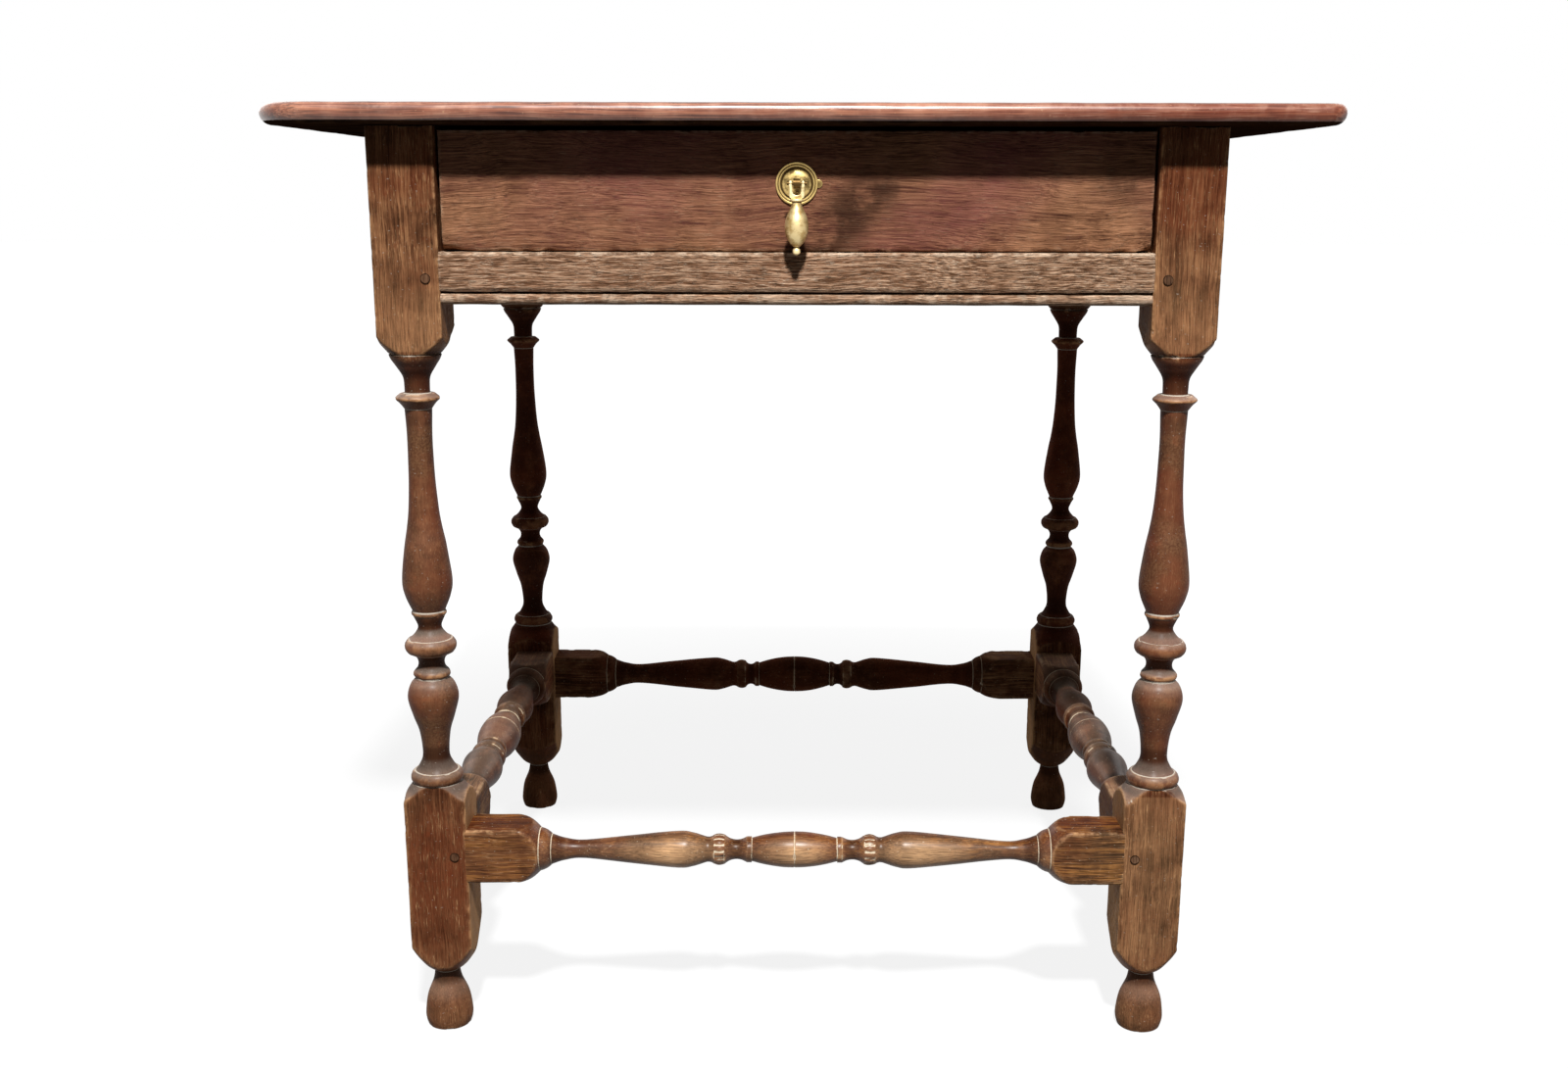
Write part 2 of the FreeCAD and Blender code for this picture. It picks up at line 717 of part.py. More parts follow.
def left_runner_nails():
    """Nails through the left runner and the left guide into the side rail."""
    guide_width = side_rail_inner_x - leg_inner_x
    runner_level = front_rail_top - runner_thickness / 2
    guide_level = front_rail_top + guide_height / 2
    nails = []
    for place in (-1, 0, 1):
        y = place * runner_nail_spacing
        runner_head = Vector(-leg_inner_x + runner_width, y, runner_level)
        guide_head = Vector(-leg_inner_x, y, guide_level)
        nails.append(nail(runner_head, -X, runner_width + guide_width))
        nails.append(nail(guide_head, -X, guide_width))
    return nails


def drawer_runner():
    """Left runner: its inner strip is housed in the rails, and its outer strip lies against the side rail."""
    outer = box((-side_rail_inner_x, -leg_inner_x), (-leg_inner_y, leg_inner_y),
                (front_rail_top - runner_thickness, front_rail_top))
    return runner_core().fuse(outer).removeSplitter().cut(left_runner_nails())


def drawer_guide():
    """Left guide, flush with the legs' inner faces."""
    guide = box((-side_rail_inner_x, -leg_inner_x), (-leg_inner_y, leg_inner_y),
                (front_rail_top, front_rail_top + guide_height))
    return guide.cut(left_runner_nails())


def drawer_stop():
    """Left stop block on the back rail."""
    middle = -stop_spacing / 2
    block = box((middle - stop_width / 2, middle + stop_width / 2),
                (back_rail_inner_y - stop_thickness, back_rail_inner_y),
                (drawer_side_bottom, drawer_side_bottom + stop_height))
    return block.cut(stop_nails())


def stop_nails():
    """Nails through both stops into the back rail."""
    head = Vector(-stop_spacing / 2, back_rail_inner_y - stop_thickness, drawer_side_bottom + stop_height / 2)
    return both_sides([nail(head, Y, stop_thickness)], X)


def evenly(start, end, count):
    """Places at the middles of equal steps."""
    step = (end - start) / count
    return [start + (index + 0.5) * step for index in range(count)]


def drawer_side_nails():
    """Nails through the left drawer side into the front's rebate and into the back."""
    front_y = drawer_front_back_y - side_rebate_depth / 2
    back_y = drawer_rear_y - drawer_back_thickness / 2
    nails = []
    for z in evenly(drawer_side_bottom, drawer_side_top, side_nail_count):
        for y in (front_y, back_y):
            nails.append(nail(Vector(-drawer_half_x, y, z), X, drawer_side_thickness))
    return nails


def drawer_bottom_nails():
    """Nails up through the bottom boards into the left drawer side."""
    x = -drawer_half_x + drawer_side_thickness / 2
    places = evenly(drawer_front_back_y, drawer_rear_y - drawer_back_thickness, bottom_nail_count)
    return [nail(Vector(x, y, drawer_floor), Z, drawer_bottom_thickness) for y in places]


def drawer_front():
    """Front board, rebated at its ends for the sides and below for the bottom."""
    inner = drawer_half_x - drawer_side_thickness
    front = box((-drawer_half_x, drawer_half_x), (drawer_face_y, drawer_front_back_y),
                (drawer_floor, drawer_roof))
    end = box((-drawer_half_x, -inner), (drawer_front_back_y - side_rebate_depth, drawer_front_back_y),
              (drawer_floor, drawer_roof))
    lower = box((-drawer_half_x, drawer_half_x),
                (drawer_front_back_y - bottom_rebate_depth, drawer_front_back_y),
                (drawer_floor, drawer_side_bottom))
    hole = rod(Vector(0, drawer_face_y, pull_z), Y, drawer_front_thickness, cotter_shank_radius)
    return front.cut([lower, hole] + both_sides([end] + drawer_side_nails(), X))


def drawer_side():
    """Left drawer side, lapped into the front's rebate."""
    side = box((-drawer_half_x, -drawer_half_x + drawer_side_thickness),
               (drawer_front_back_y - side_rebate_depth, drawer_rear_y),
               (drawer_side_bottom, drawer_side_top))
    return side.cut(drawer_side_nails() + drawer_bottom_nails())


def drawer_back():
    inner = drawer_half_x - drawer_side_thickness
    back = box((-inner, inner), (drawer_rear_y - drawer_back_thickness, drawer_rear_y),
               (drawer_side_bottom, drawer_side_top))
    return back.cut(both_sides(drawer_side_nails(), X))


def drawer_bottoms():
    """Two bottom boards, nailed up under the sides."""
    start = drawer_front_back_y - bottom_rebate_depth
    seam = start + bottom_board_width
    boards = {}
    for name, span in (("drawer_bottom_front", (start, seam)), ("drawer_bottom_rear", (seam, drawer_rear_y))):
        board = box((-drawer_half_x, drawer_half_x), span, (drawer_floor, drawer_side_bottom))
        boards[name] = board.cut(both_sides(drawer_bottom_nails(), X))
    return boards


def pull_backplate():
    """Domed round plate with two mouldings and a small ear."""
    rim = plate_rim_thickness
    first = plate_radius - plate_moulding_width
    second = first - plate_moulding_width
    outline = Outline()
    outline.line(plate_radius, 0)
    outline.line(plate_radius, rim / 2)
    outline.arc((between(first, plate_radius, 0.5), rim), (first, rim / 2))
    outline.arc((between(second, first, 0.5), 1.3 * rim), (second, rim))
    outline.cap(plate_dome_height)
    plate = outline.solid()
    ear_middle = plate_radius + plate_ear_reach - plate_ear_width / 2
    ear = rod(Vector(ear_middle, 0, 0), Z, rim / 2, plate_ear_width / 2)
    plate = plate.fuse(ear).cut(rod(ORIGIN, Z, plate_dome_height, cotter_shank_radius))
    plate.rotate(ORIGIN, X, 90)
    plate.translate(Vector(0, drawer_face_y, pull_z))
    return plate


def pull_cotter():
    """Split pin with an eye for the drop; its legs are bent apart behind the drawer front."""
    eye = rod(Vector(-cotter_eye_width / 2, pull_y, pull_z), X, cotter_eye_width, cotter_eye_radius)
    shank_start = pull_y + cotter_eye_radius / 2 + pin_radius / 2
    shank = rod(Vector(0, shank_start, pull_z), Y, drawer_front_back_y - shank_start, cotter_shank_radius)
    legs = box((-cotter_shank_radius, cotter_shank_radius),
               (drawer_front_back_y, drawer_front_back_y + cotter_leg_thickness),
               (pull_z - cotter_leg_length, pull_z + cotter_leg_length))
    bore = rod(Vector(-cotter_eye_width, pull_y, pull_z), X, 2 * cotter_eye_width, pin_radius + pin_fit)
    return fuse_all([eye, shank, legs]).cut(bore)


def stirrup():
    """U-shaped head of the drop, its hinge at the origin."""
    inner = cotter_eye_width / 2 + stirrup_gap
    outer = inner + stirrup_wire
    half = stirrup_wire / 2
    arm = box((inner, outer), (-half, half), (-stirrup_drop, 0))
    boss = rod(Vector(inner, 0, 0), X, stirrup_wire, stirrup_boss_radius)
    bridge = box((-outer, outer), (-half, half), (-stirrup_drop, -stirrup_drop + stirrup_wire))
    return [bridge] + both_sides([arm, boss], X)


def pull_drop():
    """Pear drop with a stirrup, a collar and a ball finial."""
    foot = 2 * finial_radius
    neck = foot + drop_length
    top = neck + drop_collar_height
    collar_edge = between(drop_neck_radius, drop_collar_radius, 0.7)
    outline = Outline()
    outline.arc((finial_radius, finial_radius), (finial_neck_radius, foot))
    outline.curve((between(finial_neck_radius, drop_radius, 0.66), between(foot, neck, 0.17)),
                  (drop_radius, between(foot, neck, 0.38)),
                  (between(drop_neck_radius, drop_radius, 0.48), between(foot, neck, 0.70)),
                  (drop_neck_radius, neck))
    outline.line(collar_edge, neck)
    outline.arc((drop_collar_radius, neck + drop_collar_height / 2), (collar_edge, top))
    pear = outline.solid()
    pear.translate(Vector(0, 0, -stirrup_drop - top))
    drop = fuse_all([pear] + stirrup())
    drop = drop.cut(rod(Vector(-pin_half_length, 0, 0), X, 2 * pin_half_length, pin_radius))
    drop.translate(Vector(0, pull_y, pull_z))
    return drop


def pull_pin():
    """Hinge pin fixed in the stirrup, with its ends standing out."""
    return rod(Vector(-pin_half_length, pull_y, pull_z), X, 2 * pin_half_length, pin_radius)


def single_parts():
    front_leg = front_left_leg()
    rear_leg = rear_left_leg()
    return {
        "leg_front_left": front_leg,
        "leg_front_right": mirrored(front_leg, X),
        "leg_rear_left": rear_leg,
        "leg_rear_right": mirrored(rear_leg, X),
        "front_rail": front_rail(),
        "back_rail": back_rail(),
        "front_stretcher": long_stretcher(worn=True),
        "rear_stretcher": mirrored(long_stretcher(worn=False), Y),
        "drawer_front": drawer_front(),
        "drawer_back": drawer_back(),
        "pull_backplate": pull_backplate(),
        "pull_cotter": pull_cotter(),
        "pull_drop": pull_drop(),
        "pull_pin": pull_pin(),
    }


def handed_parts():
    """Pieces that come as a left and a right."""
    makers = {"side_rail": side_rail, "side_stretcher": side_stretcher, "drawer_runner": drawer_runner,
              "drawer_guide": drawer_guide, "drawer_side": drawer_side}
    parts = {}
    for name, make in makers.items():
        left = make()
        parts[name + "_left"] = left
        parts[name + "_right"] = mirrored(left, X)
    return parts


def grouped_parts():
    """Like pieces that share a node."""
    rear_pegs = [mirrored(peg, Y) for peg in rear_left_rail_pegs()]
    groups = {
        "rail_pegs": both_sides(front_left_rail_pegs() + rear_pegs, X),
        "stretcher_pegs": both_sides(both_sides(left_stretcher_pegs(), Y), X),
        "top_pegs": both_sides(side_top_pegs(), X) + back_top_pegs(),
        "frame_nails": both_sides(left_runner_nails(), X) + stop_nails(),
        "drawer_nails": both_sides(drawer_side_nails() + drawer_bottom_nails(), X),
        "drawer_stops": both_sides([drawer_stop()], X),
    }
    return {name: Part.makeCompound(shapes) for name, shapes in groups.items()}


os.makedirs("parts", exist_ok=True)
for parts in (single_parts(), top_boards(), drawer_bottoms(), handed_parts(), grouped_parts()):
    for node, shape in parts.items():
        shape.exportStep("parts/" + node + ".step")
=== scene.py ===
import math

import bmesh
import bpy
from mathutils import Matrix, Vector, noise


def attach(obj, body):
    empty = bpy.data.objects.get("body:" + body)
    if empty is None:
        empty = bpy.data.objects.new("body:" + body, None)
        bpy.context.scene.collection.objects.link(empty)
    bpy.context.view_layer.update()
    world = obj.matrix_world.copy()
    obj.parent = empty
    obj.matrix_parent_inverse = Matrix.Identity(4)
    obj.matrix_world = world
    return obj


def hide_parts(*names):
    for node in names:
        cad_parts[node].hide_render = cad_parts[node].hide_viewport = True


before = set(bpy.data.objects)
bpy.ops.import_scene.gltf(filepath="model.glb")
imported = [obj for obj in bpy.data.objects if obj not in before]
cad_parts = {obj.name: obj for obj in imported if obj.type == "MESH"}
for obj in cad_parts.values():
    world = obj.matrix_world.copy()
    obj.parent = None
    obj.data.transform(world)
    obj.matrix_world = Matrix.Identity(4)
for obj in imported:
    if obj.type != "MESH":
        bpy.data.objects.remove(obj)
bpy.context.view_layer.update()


# Viewpoint, lamps and floor. The eye is a little under the top and looks slightly down at the front.
# One lamp stands high in front, two weak ones light the back, and the pale floor keeps a light shadow.

class Flow:
    """A socket in a node tree: sums on it become Math nodes, and make() adds any other node."""

    def __init__(self, tree, socket=None):
        self.tree = tree
        self.socket = socket

    def make(self, kind, settings=None, inputs=None, output=0):
        node = self.tree.nodes.new("ShaderNode" + kind)
        for name, value in (settings or {}).items():
            setattr(node, name, value)
        for key, value in (inputs or {}).items():
            if isinstance(value, Flow):
                self.tree.links.new(value.socket, node.inputs[key])
            else:
                node.inputs[key].default_value = value
        return Flow(self.tree, node.outputs[output]) if node.outputs else None

    def math(self, operation, first, second):
        return self.make("Math", {"operation": operation}, {0: first, 1: second})

    def __add__(self, other):
        return self.math("ADD", self, other)

    def __sub__(self, other):
        return self.math("SUBTRACT", self, other)

    def __mul__(self, other):
        return self.math("MULTIPLY", self, other)

    def __rsub__(self, other):
        return self.math("SUBTRACT", other, self)

    __radd__ = __add__
    __rmul__ = __mul__

    def at_most(self, limit):
        return self.math("MINIMUM", self, limit)

    def rise(self, low, high, kind="LINEAR"):
        """Straight rise from 0 to 1 between two values."""
        bounds = {"Value": self, "From Min": low, "From Max": high}
        return self.make("MapRange", {"interpolation_type": kind}, bounds)

    def step(self, low, high):
        """Smooth rise from 0 to 1 between two values."""
        return self.rise(low, high, "SMOOTHSTEP")

    def lay(self, below, above):
        """The colour above laid over the one below, as thickly as this value says."""
        colour_a, colour_b, mixed = 6, 7, 2
        return self.make("Mix", {"data_type": "RGBA"}, {0: self, colour_a: below, colour_b: above}, mixed)

    def noted(self, attribute):
        """What the mesh notes at each point under this name, or zero."""
        return self.make("Attribute", {"attribute_name": attribute}, output="Fac")

    def bump(self, depth):
        """Normal of a surface with these heights, the full one of this depth in metres."""
        return self.make("Bump", inputs={"Height": self, "Distance": depth, "Strength": 1.0})


def tone(code):
    """Linear colour of a six-digit display code."""
    parts = [int(code[place:place + 2], 16) / 255 for place in (0, 2, 4)]
    return [part / 12.92 if part < 0.04 else ((part + 0.055) / 1.055) ** 2.4 for part in parts] + [1.0]


def stand(name, data):
    """Object of this data, linked to the scene."""
    thing = bpy.data.objects.new(name, data)
    bpy.context.scene.collection.objects.link(thing)
    return thing


def lamp(name, place, target, size, power):
    """Disk that shines at its target, its size in metres and its power in watts."""
    light = bpy.data.lights.new(name, "AREA")
    light.shape = "DISK"
    light.size = size
    light.energy = power
    holder = stand(name, light)
    holder.location = place
    holder.rotation_euler = (Vector(target) - Vector(place)).to_track_quat("-Z", "Y").to_euler()


lamp("front lamp", place=(0.15, -2.6, 3.5), target=(0, -0.1, 0.4), size=0.30, power=260)
lamp("rear left lamp", place=(-1.9, 2.2, 1.6), target=(0, 0, 0.4), size=1.6, power=14)
lamp("rear right lamp", place=(1.9, 2.2, 1.6), target=(0, 0, 0.4), size=1.6, power=14)

white = (1, 1, 1, 1)
ambient = 0.08
world = bpy.data.worlds.new("studio")
world.use_nodes = True
world.node_tree.nodes.clear()
air = Flow(world.node_tree)


def seen_directly(flow):
    """One for the eye and for what metal and glass mirror or let through."""
    kinds = ("Is Camera Ray", "Is Glossy Ray", "Is Transmission Ray")
    looked, mirrored, passed = [flow.make("LightPath", output=kind) for kind in kinds]
    return (looked + mirrored + passed).at_most(1.0)


brightness = ambient + (1 - ambient) * seen_directly(air)
sky = air.make("Background", inputs={"Color": white, "Strength": brightness})
air.make("OutputWorld", inputs={"Surface": sky})
bpy.context.scene.world = world

floor_reach = 20
floor_drop = 0.0004
floor_mesh = bmesh.new()
bmesh.ops.create_grid(floor_mesh, x_segments=1, y_segments=1, size=floor_reach)
floor_data = bpy.data.meshes.new("floor")
floor_mesh.to_mesh(floor_data)
floor = stand("floor", floor_data)
floor.location.z = -floor_drop
pale = bpy.data.materials.new("pale floor")
pale.use_nodes = True
pale.node_tree.nodes.clear()
ground = Flow(pale.node_tree)
spot = ground.make("TexCoord", output="Object")
away = ground.make("VectorMath", {"operation": "LENGTH"}, {0: spot}, "Value")
glow = 0.86 + 0.14 * away.step(0.5, 1.4)
lit = ground.make("BsdfDiffuse", inputs={"Color": (0.14, 0.14, 0.14, 1)})
shown = ground.make("AddShader", inputs={
    0: ground.make("Emission", inputs={"Color": white, "Strength": glow}), 1: lit})
dull = ground.make("BsdfDiffuse", inputs={"Color": (0.12, 0.12, 0.12, 1)})
surface = ground.make("MixShader", inputs={0: seen_directly(ground), 1: dull, 2: shown})
ground.make("OutputMaterial", inputs={"Surface": surface})
floor_data.materials.append(pale)

picture_width = 1600
focal_pixels = 1650.3
shift_pixels = (-3.0, 58.4)
look_down, roll, look_left = 0.2419, -0.002, 0.00406
camera = bpy.data.cameras.new("camera")
camera.sensor_fit = "HORIZONTAL"
camera.sensor_width = 36
camera.lens = focal_pixels / picture_width * camera.sensor_width
camera.shift_x = shift_pixels[0] / picture_width
camera.shift_y = shift_pixels[1] / picture_width
camera.clip_start = 0.05
eye = stand("camera", camera)
eye.location = (-0.0021, -1.4315, 0.6531)
eye.rotation_euler = (math.radians(90) - look_down, roll, look_left)
bpy.context.scene.camera = eye
bpy.context.scene.view_settings.view_transform = "Standard"


# Legs. Each is one length of old waxed oak, turned but for two squares that are planed for the mortises.
# The turning has cut the ends of the squares to rounded shoulders, and use has rounded every arris.

millimetre = 0.001
leg_spacing = (558, 480)
leg_top = 698
leg_blank = 38.4
leg_turning = [
    # foot
    [(0, 0), (0, 17.2)],
    [(0, 17.2), (5, 18.6), (11, 18.8), (25, 16.6), (38, 11.5), (47, 9.8)],
    # lower square between its shoulders
    [(47, 9.8), (52.1, 16.7), (61.6, 23.8), (70.8, 29.5), (81, leg_blank)],
    [(81, leg_blank), (184.5, leg_blank)],
    [(184.5, leg_blank), (194.4, 29.8), (199.9, 23.9), (205, 20)],
    # collar
    [(205, 20), (206.5, 18.8)],
    [(206.5, 18.8), (208.9, 20.1), (211.6, 20.3), (214.1, 19.4), (216.1, 17.5)],
    [(216.1, 17.5), (216.1, 16.3)],
    # lower vase
    [(216.1, 16.3), (220.8, 13.1), (229.1, 10.3), (246.8, 11.9), (260.2, 16), (274.9, 19.5), (285.2, 17.2),
     (290.1, 13.4)],
    # lip, cove and ring
    [(290.1, 13.4), (291.1, 12.6)],
    [(291.1, 12.6), (292.1, 13.7), (293.6, 14.3), (295.2, 14.1), (296.5, 13.2)],
    [(296.5, 13.2), (299.3, 10.8), (303, 10), (306.6, 11), (309.3, 13.6)],
    [(309.3, 13.6), (310.9, 17.4), (314.5, 19.6), (318.6, 19.4), (321.9, 16.9)],
    [(321.9, 16.9), (321.9, 16)],
    # waist and fillet
    [(321.9, 16), (324.3, 13.3), (327.4, 10.7), (331.9, 9), (340.1, 12.3)],
    [(340.1, 12.3), (340.9, 13.1), (341.9, 13.4), (343, 13.2), (343.9, 12.4)],
    # tall vase
    [(343.9, 12.4), (355.8, 17.2), (368.2, 19), (392.8, 16), (408.3, 13.3), (422.5, 11.4), (445.8, 10),
     (475.5, 9.5), (497.5, 10.2)],
    # top ring, neck and bell
    [(497.5, 10.2), (501.7, 13.3), (505.4, 16.6), (509.1, 12.8)],
    [(509.1, 12.8), (509.1, 9.4)],
    [(509.1, 9.4), (513.3, 9.4), (521.1, 10.1), (528.4, 14.3), (534.3, 18.2), (537.6, 19.4)],
    [(537.6, 19.4), (537.6, 17.5)],
    [(537.6, 17.5), (538.5, 19.4)],
    # upper square above its shoulder
    [(538.5, 19.4), (543.9, 24), (550.4, 29.9), (556.5, leg_blank)],
    [(556.5, leg_blank), (leg_top, leg_blank)],
    [(leg_top, leg_blank), (leg_top, 0)],
]
leg_squares = ((47, 206.5), (521.1, leg_top))
leg_faces = {(1, 0): 24, (-1, 0): 24, (0, -1): 18, (0, 1): 30}


def clamped(value):
    return min(1, max(0, value))


def fading(distance, reach):
    """One at no distance, falling to zero at the reach."""
    return max(0, 1 - distance / reach)


def curve_through(knots, spacing, nick=0.5):
    """Closely spaced points on a smooth line through the knots, with one more just inside each end."""
    ends = [2 * knots[0] - knots[1]] + knots + [2 * knots[-1] - knots[-2]]
    points = []
    for before, start, end, after in zip(ends, ends[1:], ends[2:], ends[3:]):
        length = (end - start).length
        count = max(1, round(length / spacing))
        shares = [number / count for number in range(count)]
        if length > 3 * nick:
            shares += [nick / length] * (start is knots[0]) + [1 - nick / length] * (end is knots[-1])
        for t in sorted(shares):
            points.append(start + 0.5 * t * (end - before + t * (
                2 * before - 5 * start + 4 * end - after + t * (3 * start - before - 3 * end + after))))
    return points + [knots[-1]]


def turned(members, steps, spacing=1.8):
    """Round turning about Z from members of (height, radius) knots, in millimetres. It notes how far the
    radius swells above the mean of those near it, or falls below."""
    swell_reach, full_swell = 20, 5
    points = []
    for member in members:
        knots = [Vector((radius, 0, height)) for height, radius in member]
        on_axis = min(radius for height, radius in member) == 0
        points += (knots if on_axis else curve_through(knots, spacing))[:-1]
    last_height, last_radius = members[-1][-1]
    points.append(Vector((last_radius, 0, last_height)))
    mesh = bmesh.new()
    swell = mesh.verts.layers.float.new("swell")
    line = [mesh.verts.new(point) for point in points]
    for vert in line:
        near = [point.x for point in points if abs(point.z - vert.co.z) < swell_reach]
        vert[swell] = min(1, max(-1, (vert.co.x - sum(near) / len(near)) / full_swell))
    edges = [mesh.edges.new(pair) for pair in zip(line, line[1:])]
    bmesh.ops.spin(mesh, geom=line + edges, cent=(0, 0, 0), axis=(0, 0, 1), angle=math.tau, steps=steps,
                   use_merge=True)
    bmesh.ops.remove_doubles(mesh, verts=mesh.verts, dist=0.001)
    bmesh.ops.recalc_face_normals(mesh, faces=mesh.faces)
    return mesh


def soft_least(values, rounding):
    """The least of the values, rounded off where two of them meet."""
    least = min(values)
    return least - rounding * math.log(sum(math.exp((least - value) / rounding) for value in values))


def plane_squares(mesh, faces, squares):
    """Planes flats on the turning, where the heights lie in one of the squares, and notes them. faces gives
    each flat's distance from the axis, and the arrises between flats are rounded unevenly by wear."""
    shoulder_rounding = 0.5
    planed = mesh.verts.layers.float.new("planed")
    for vert in mesh.verts:
        out = Vector((vert.co.x, vert.co.y))
        if out.length < 0.01 or not any(low <= vert.co.z <= high for low, high in squares):
            continue
        way = out.normalized()
        worn = 1.0 + 0.7 * noise.noise(Vector((3 * way.x, 3 * way.y, vert.co.z / 25)))
        facing = {side: way.dot(Vector(side)) for side in faces}
        reaches = [faces[side] / cosine for side, cosine in facing.items() if cosine > 0.05]
        flat = soft_least(reaches, worn)
        reach = soft_least([flat, out.length], shoulder_rounding)
        vert[planed] = clamped(0.5 + (out.length - flat) / 2)
        vert.co.x = way.x * reach
        vert.co.y = way.y * reach


def bend_at(vert):
    """Bend of the surface in 1/mm: above zero in a hollow and below it on an arris."""
    total = 0
    for edge in vert.link_edges:
        away = edge.other_vert(vert).co - vert.co
        total += 2 * away.dot(vert.normal) / max(0.3, away.length_squared)
    return total / max(1, len(vert.link_edges))


def weather(mesh, hollow, chip):
    """Dents the faces by up to hollow and chips the arrises by less than chip, in millimetres. It notes where
    the surface is worn, where it holds dirt and where it looks upward."""
    mesh.verts.index_update()
    mesh.normal_update()
    moves = []
    for vert in mesh.verts:
        arris = clamped((-bend_at(vert) - 0.05) / 0.25)
        low = 0.5 + 0.5 * noise.noise(vert.co / 21)
        knock = max(0, noise.noise(vert.co / 8 + Vector((5, 0, 0))) - 0.2)
        moves.append(-vert.normal * (hollow * low + chip * arris * knock))
    for vert, move in zip(mesh.verts, moves):
        vert.co += move
    mesh.normal_update()
    wear = mesh.verts.layers.float.new("wear")
    grime = mesh.verts.layers.float.new("grime")
    upward = mesh.verts.layers.float.new("upward")
    bends = [bend_at(vert) for vert in mesh.verts]
    for vert in mesh.verts:
        around = [bends[edge.other_vert(vert).index] for edge in vert.link_edges]
        bend = 0.6 * bends[vert.index] + 0.4 * sum(around) / max(1, len(around))
        vert[wear] = clamped((-bend - 0.04) / 0.22)
        vert[grime] = clamped((bend - 0.05) / 0.3)
        vert[upward] = max(0, vert.normal.z)


def note_rubbed_and_lit(mesh, share):
    """Notes how far the old finish is worn off at each point, and the painted light and painted highlight
    that some pieces carry there.
    """
    rubbed_and_lit = mesh.verts.layers.float.new("rubbed_and_lit")
    mesh.normal_update()
    for vert in mesh.verts:
        vert[rubbed_and_lit] = share(vert)


def piece_of(mesh, name, *finishes):
    """Object of a finished mesh in millimetres, with its place in the mesh."""
    bmesh.ops.scale(mesh, vec=[millimetre] * 3, verts=mesh.verts)
    for face in mesh.faces:
        face.smooth = True
    data = bpy.data.meshes.new(name)
    mesh.to_mesh(data)
    mesh.free()
    for finish in finishes:
        data.materials.append(finish)
    return stand(name, data)


def new_finish(name):
    """A material without looks yet, its node tree and the place on the object in millimetres."""
    finish = bpy.data.materials.new(name)
    finish.use_nodes = True
    flow = Flow(finish.node_tree)
    place = flow.make("TexCoord", output="Object")
    return finish, flow, flow.make("VectorMath", {"operation": "SCALE"}, {0: place, "Scale": 1 / millimetre})


def feed(finish, values):
    """Sets or links the inputs of the finish's shader."""
    shader = finish.node_tree.nodes["Principled BSDF"]
    for key, value in values.items():
        if isinstance(value, Flow):
            finish.node_tree.links.new(value.socket, shader.inputs[key])
        else:
            shader.inputs[key].default_value = value


def cloud(place, length, width, detail=2.0, output=0):
    """Soft noise in lumps of this length and width, in millimetres."""
    scaled = place.make("VectorMath", {"operation": "DIVIDE"}, {0: place, 1: (length, width, width)})
    return place.make("TexNoise", inputs={"Vector": scaled, "Scale": 1.0, "Detail": detail, "Roughness": 0.6},
                      output=output)


def drifted(place, length, width, reach):
    """The place moved across the grain by up to about half the reach, as the grain wanders."""
    middle = (0.5, 0.5, 0.5)
    drift = place.make("VectorMath", {"operation": "SUBTRACT"},
                       {0: cloud(place, length, width, 1.0, "Color"), 1: middle})
    drift = place.make("VectorMath", {"operation": "MULTIPLY"}, {0: drift, 1: (0, reach, reach)})
    return place.make("VectorMath", {"operation": "ADD"}, {0: place, 1: drift})


def along_grain(spot, grain):
    """The place turned so that its first axis is the one that the grain runs along."""
    axes = {axis: spot.make("SeparateXYZ", inputs={"Vector": spot}, output=axis) for axis in "XYZ"}
    order = {"X": "XZY", "Y": "YZX", "Z": "ZXY"}[grain]
    return spot.make("CombineXYZ", inputs={name: axes[axis] for name, axis in zip("XYZ", order)})


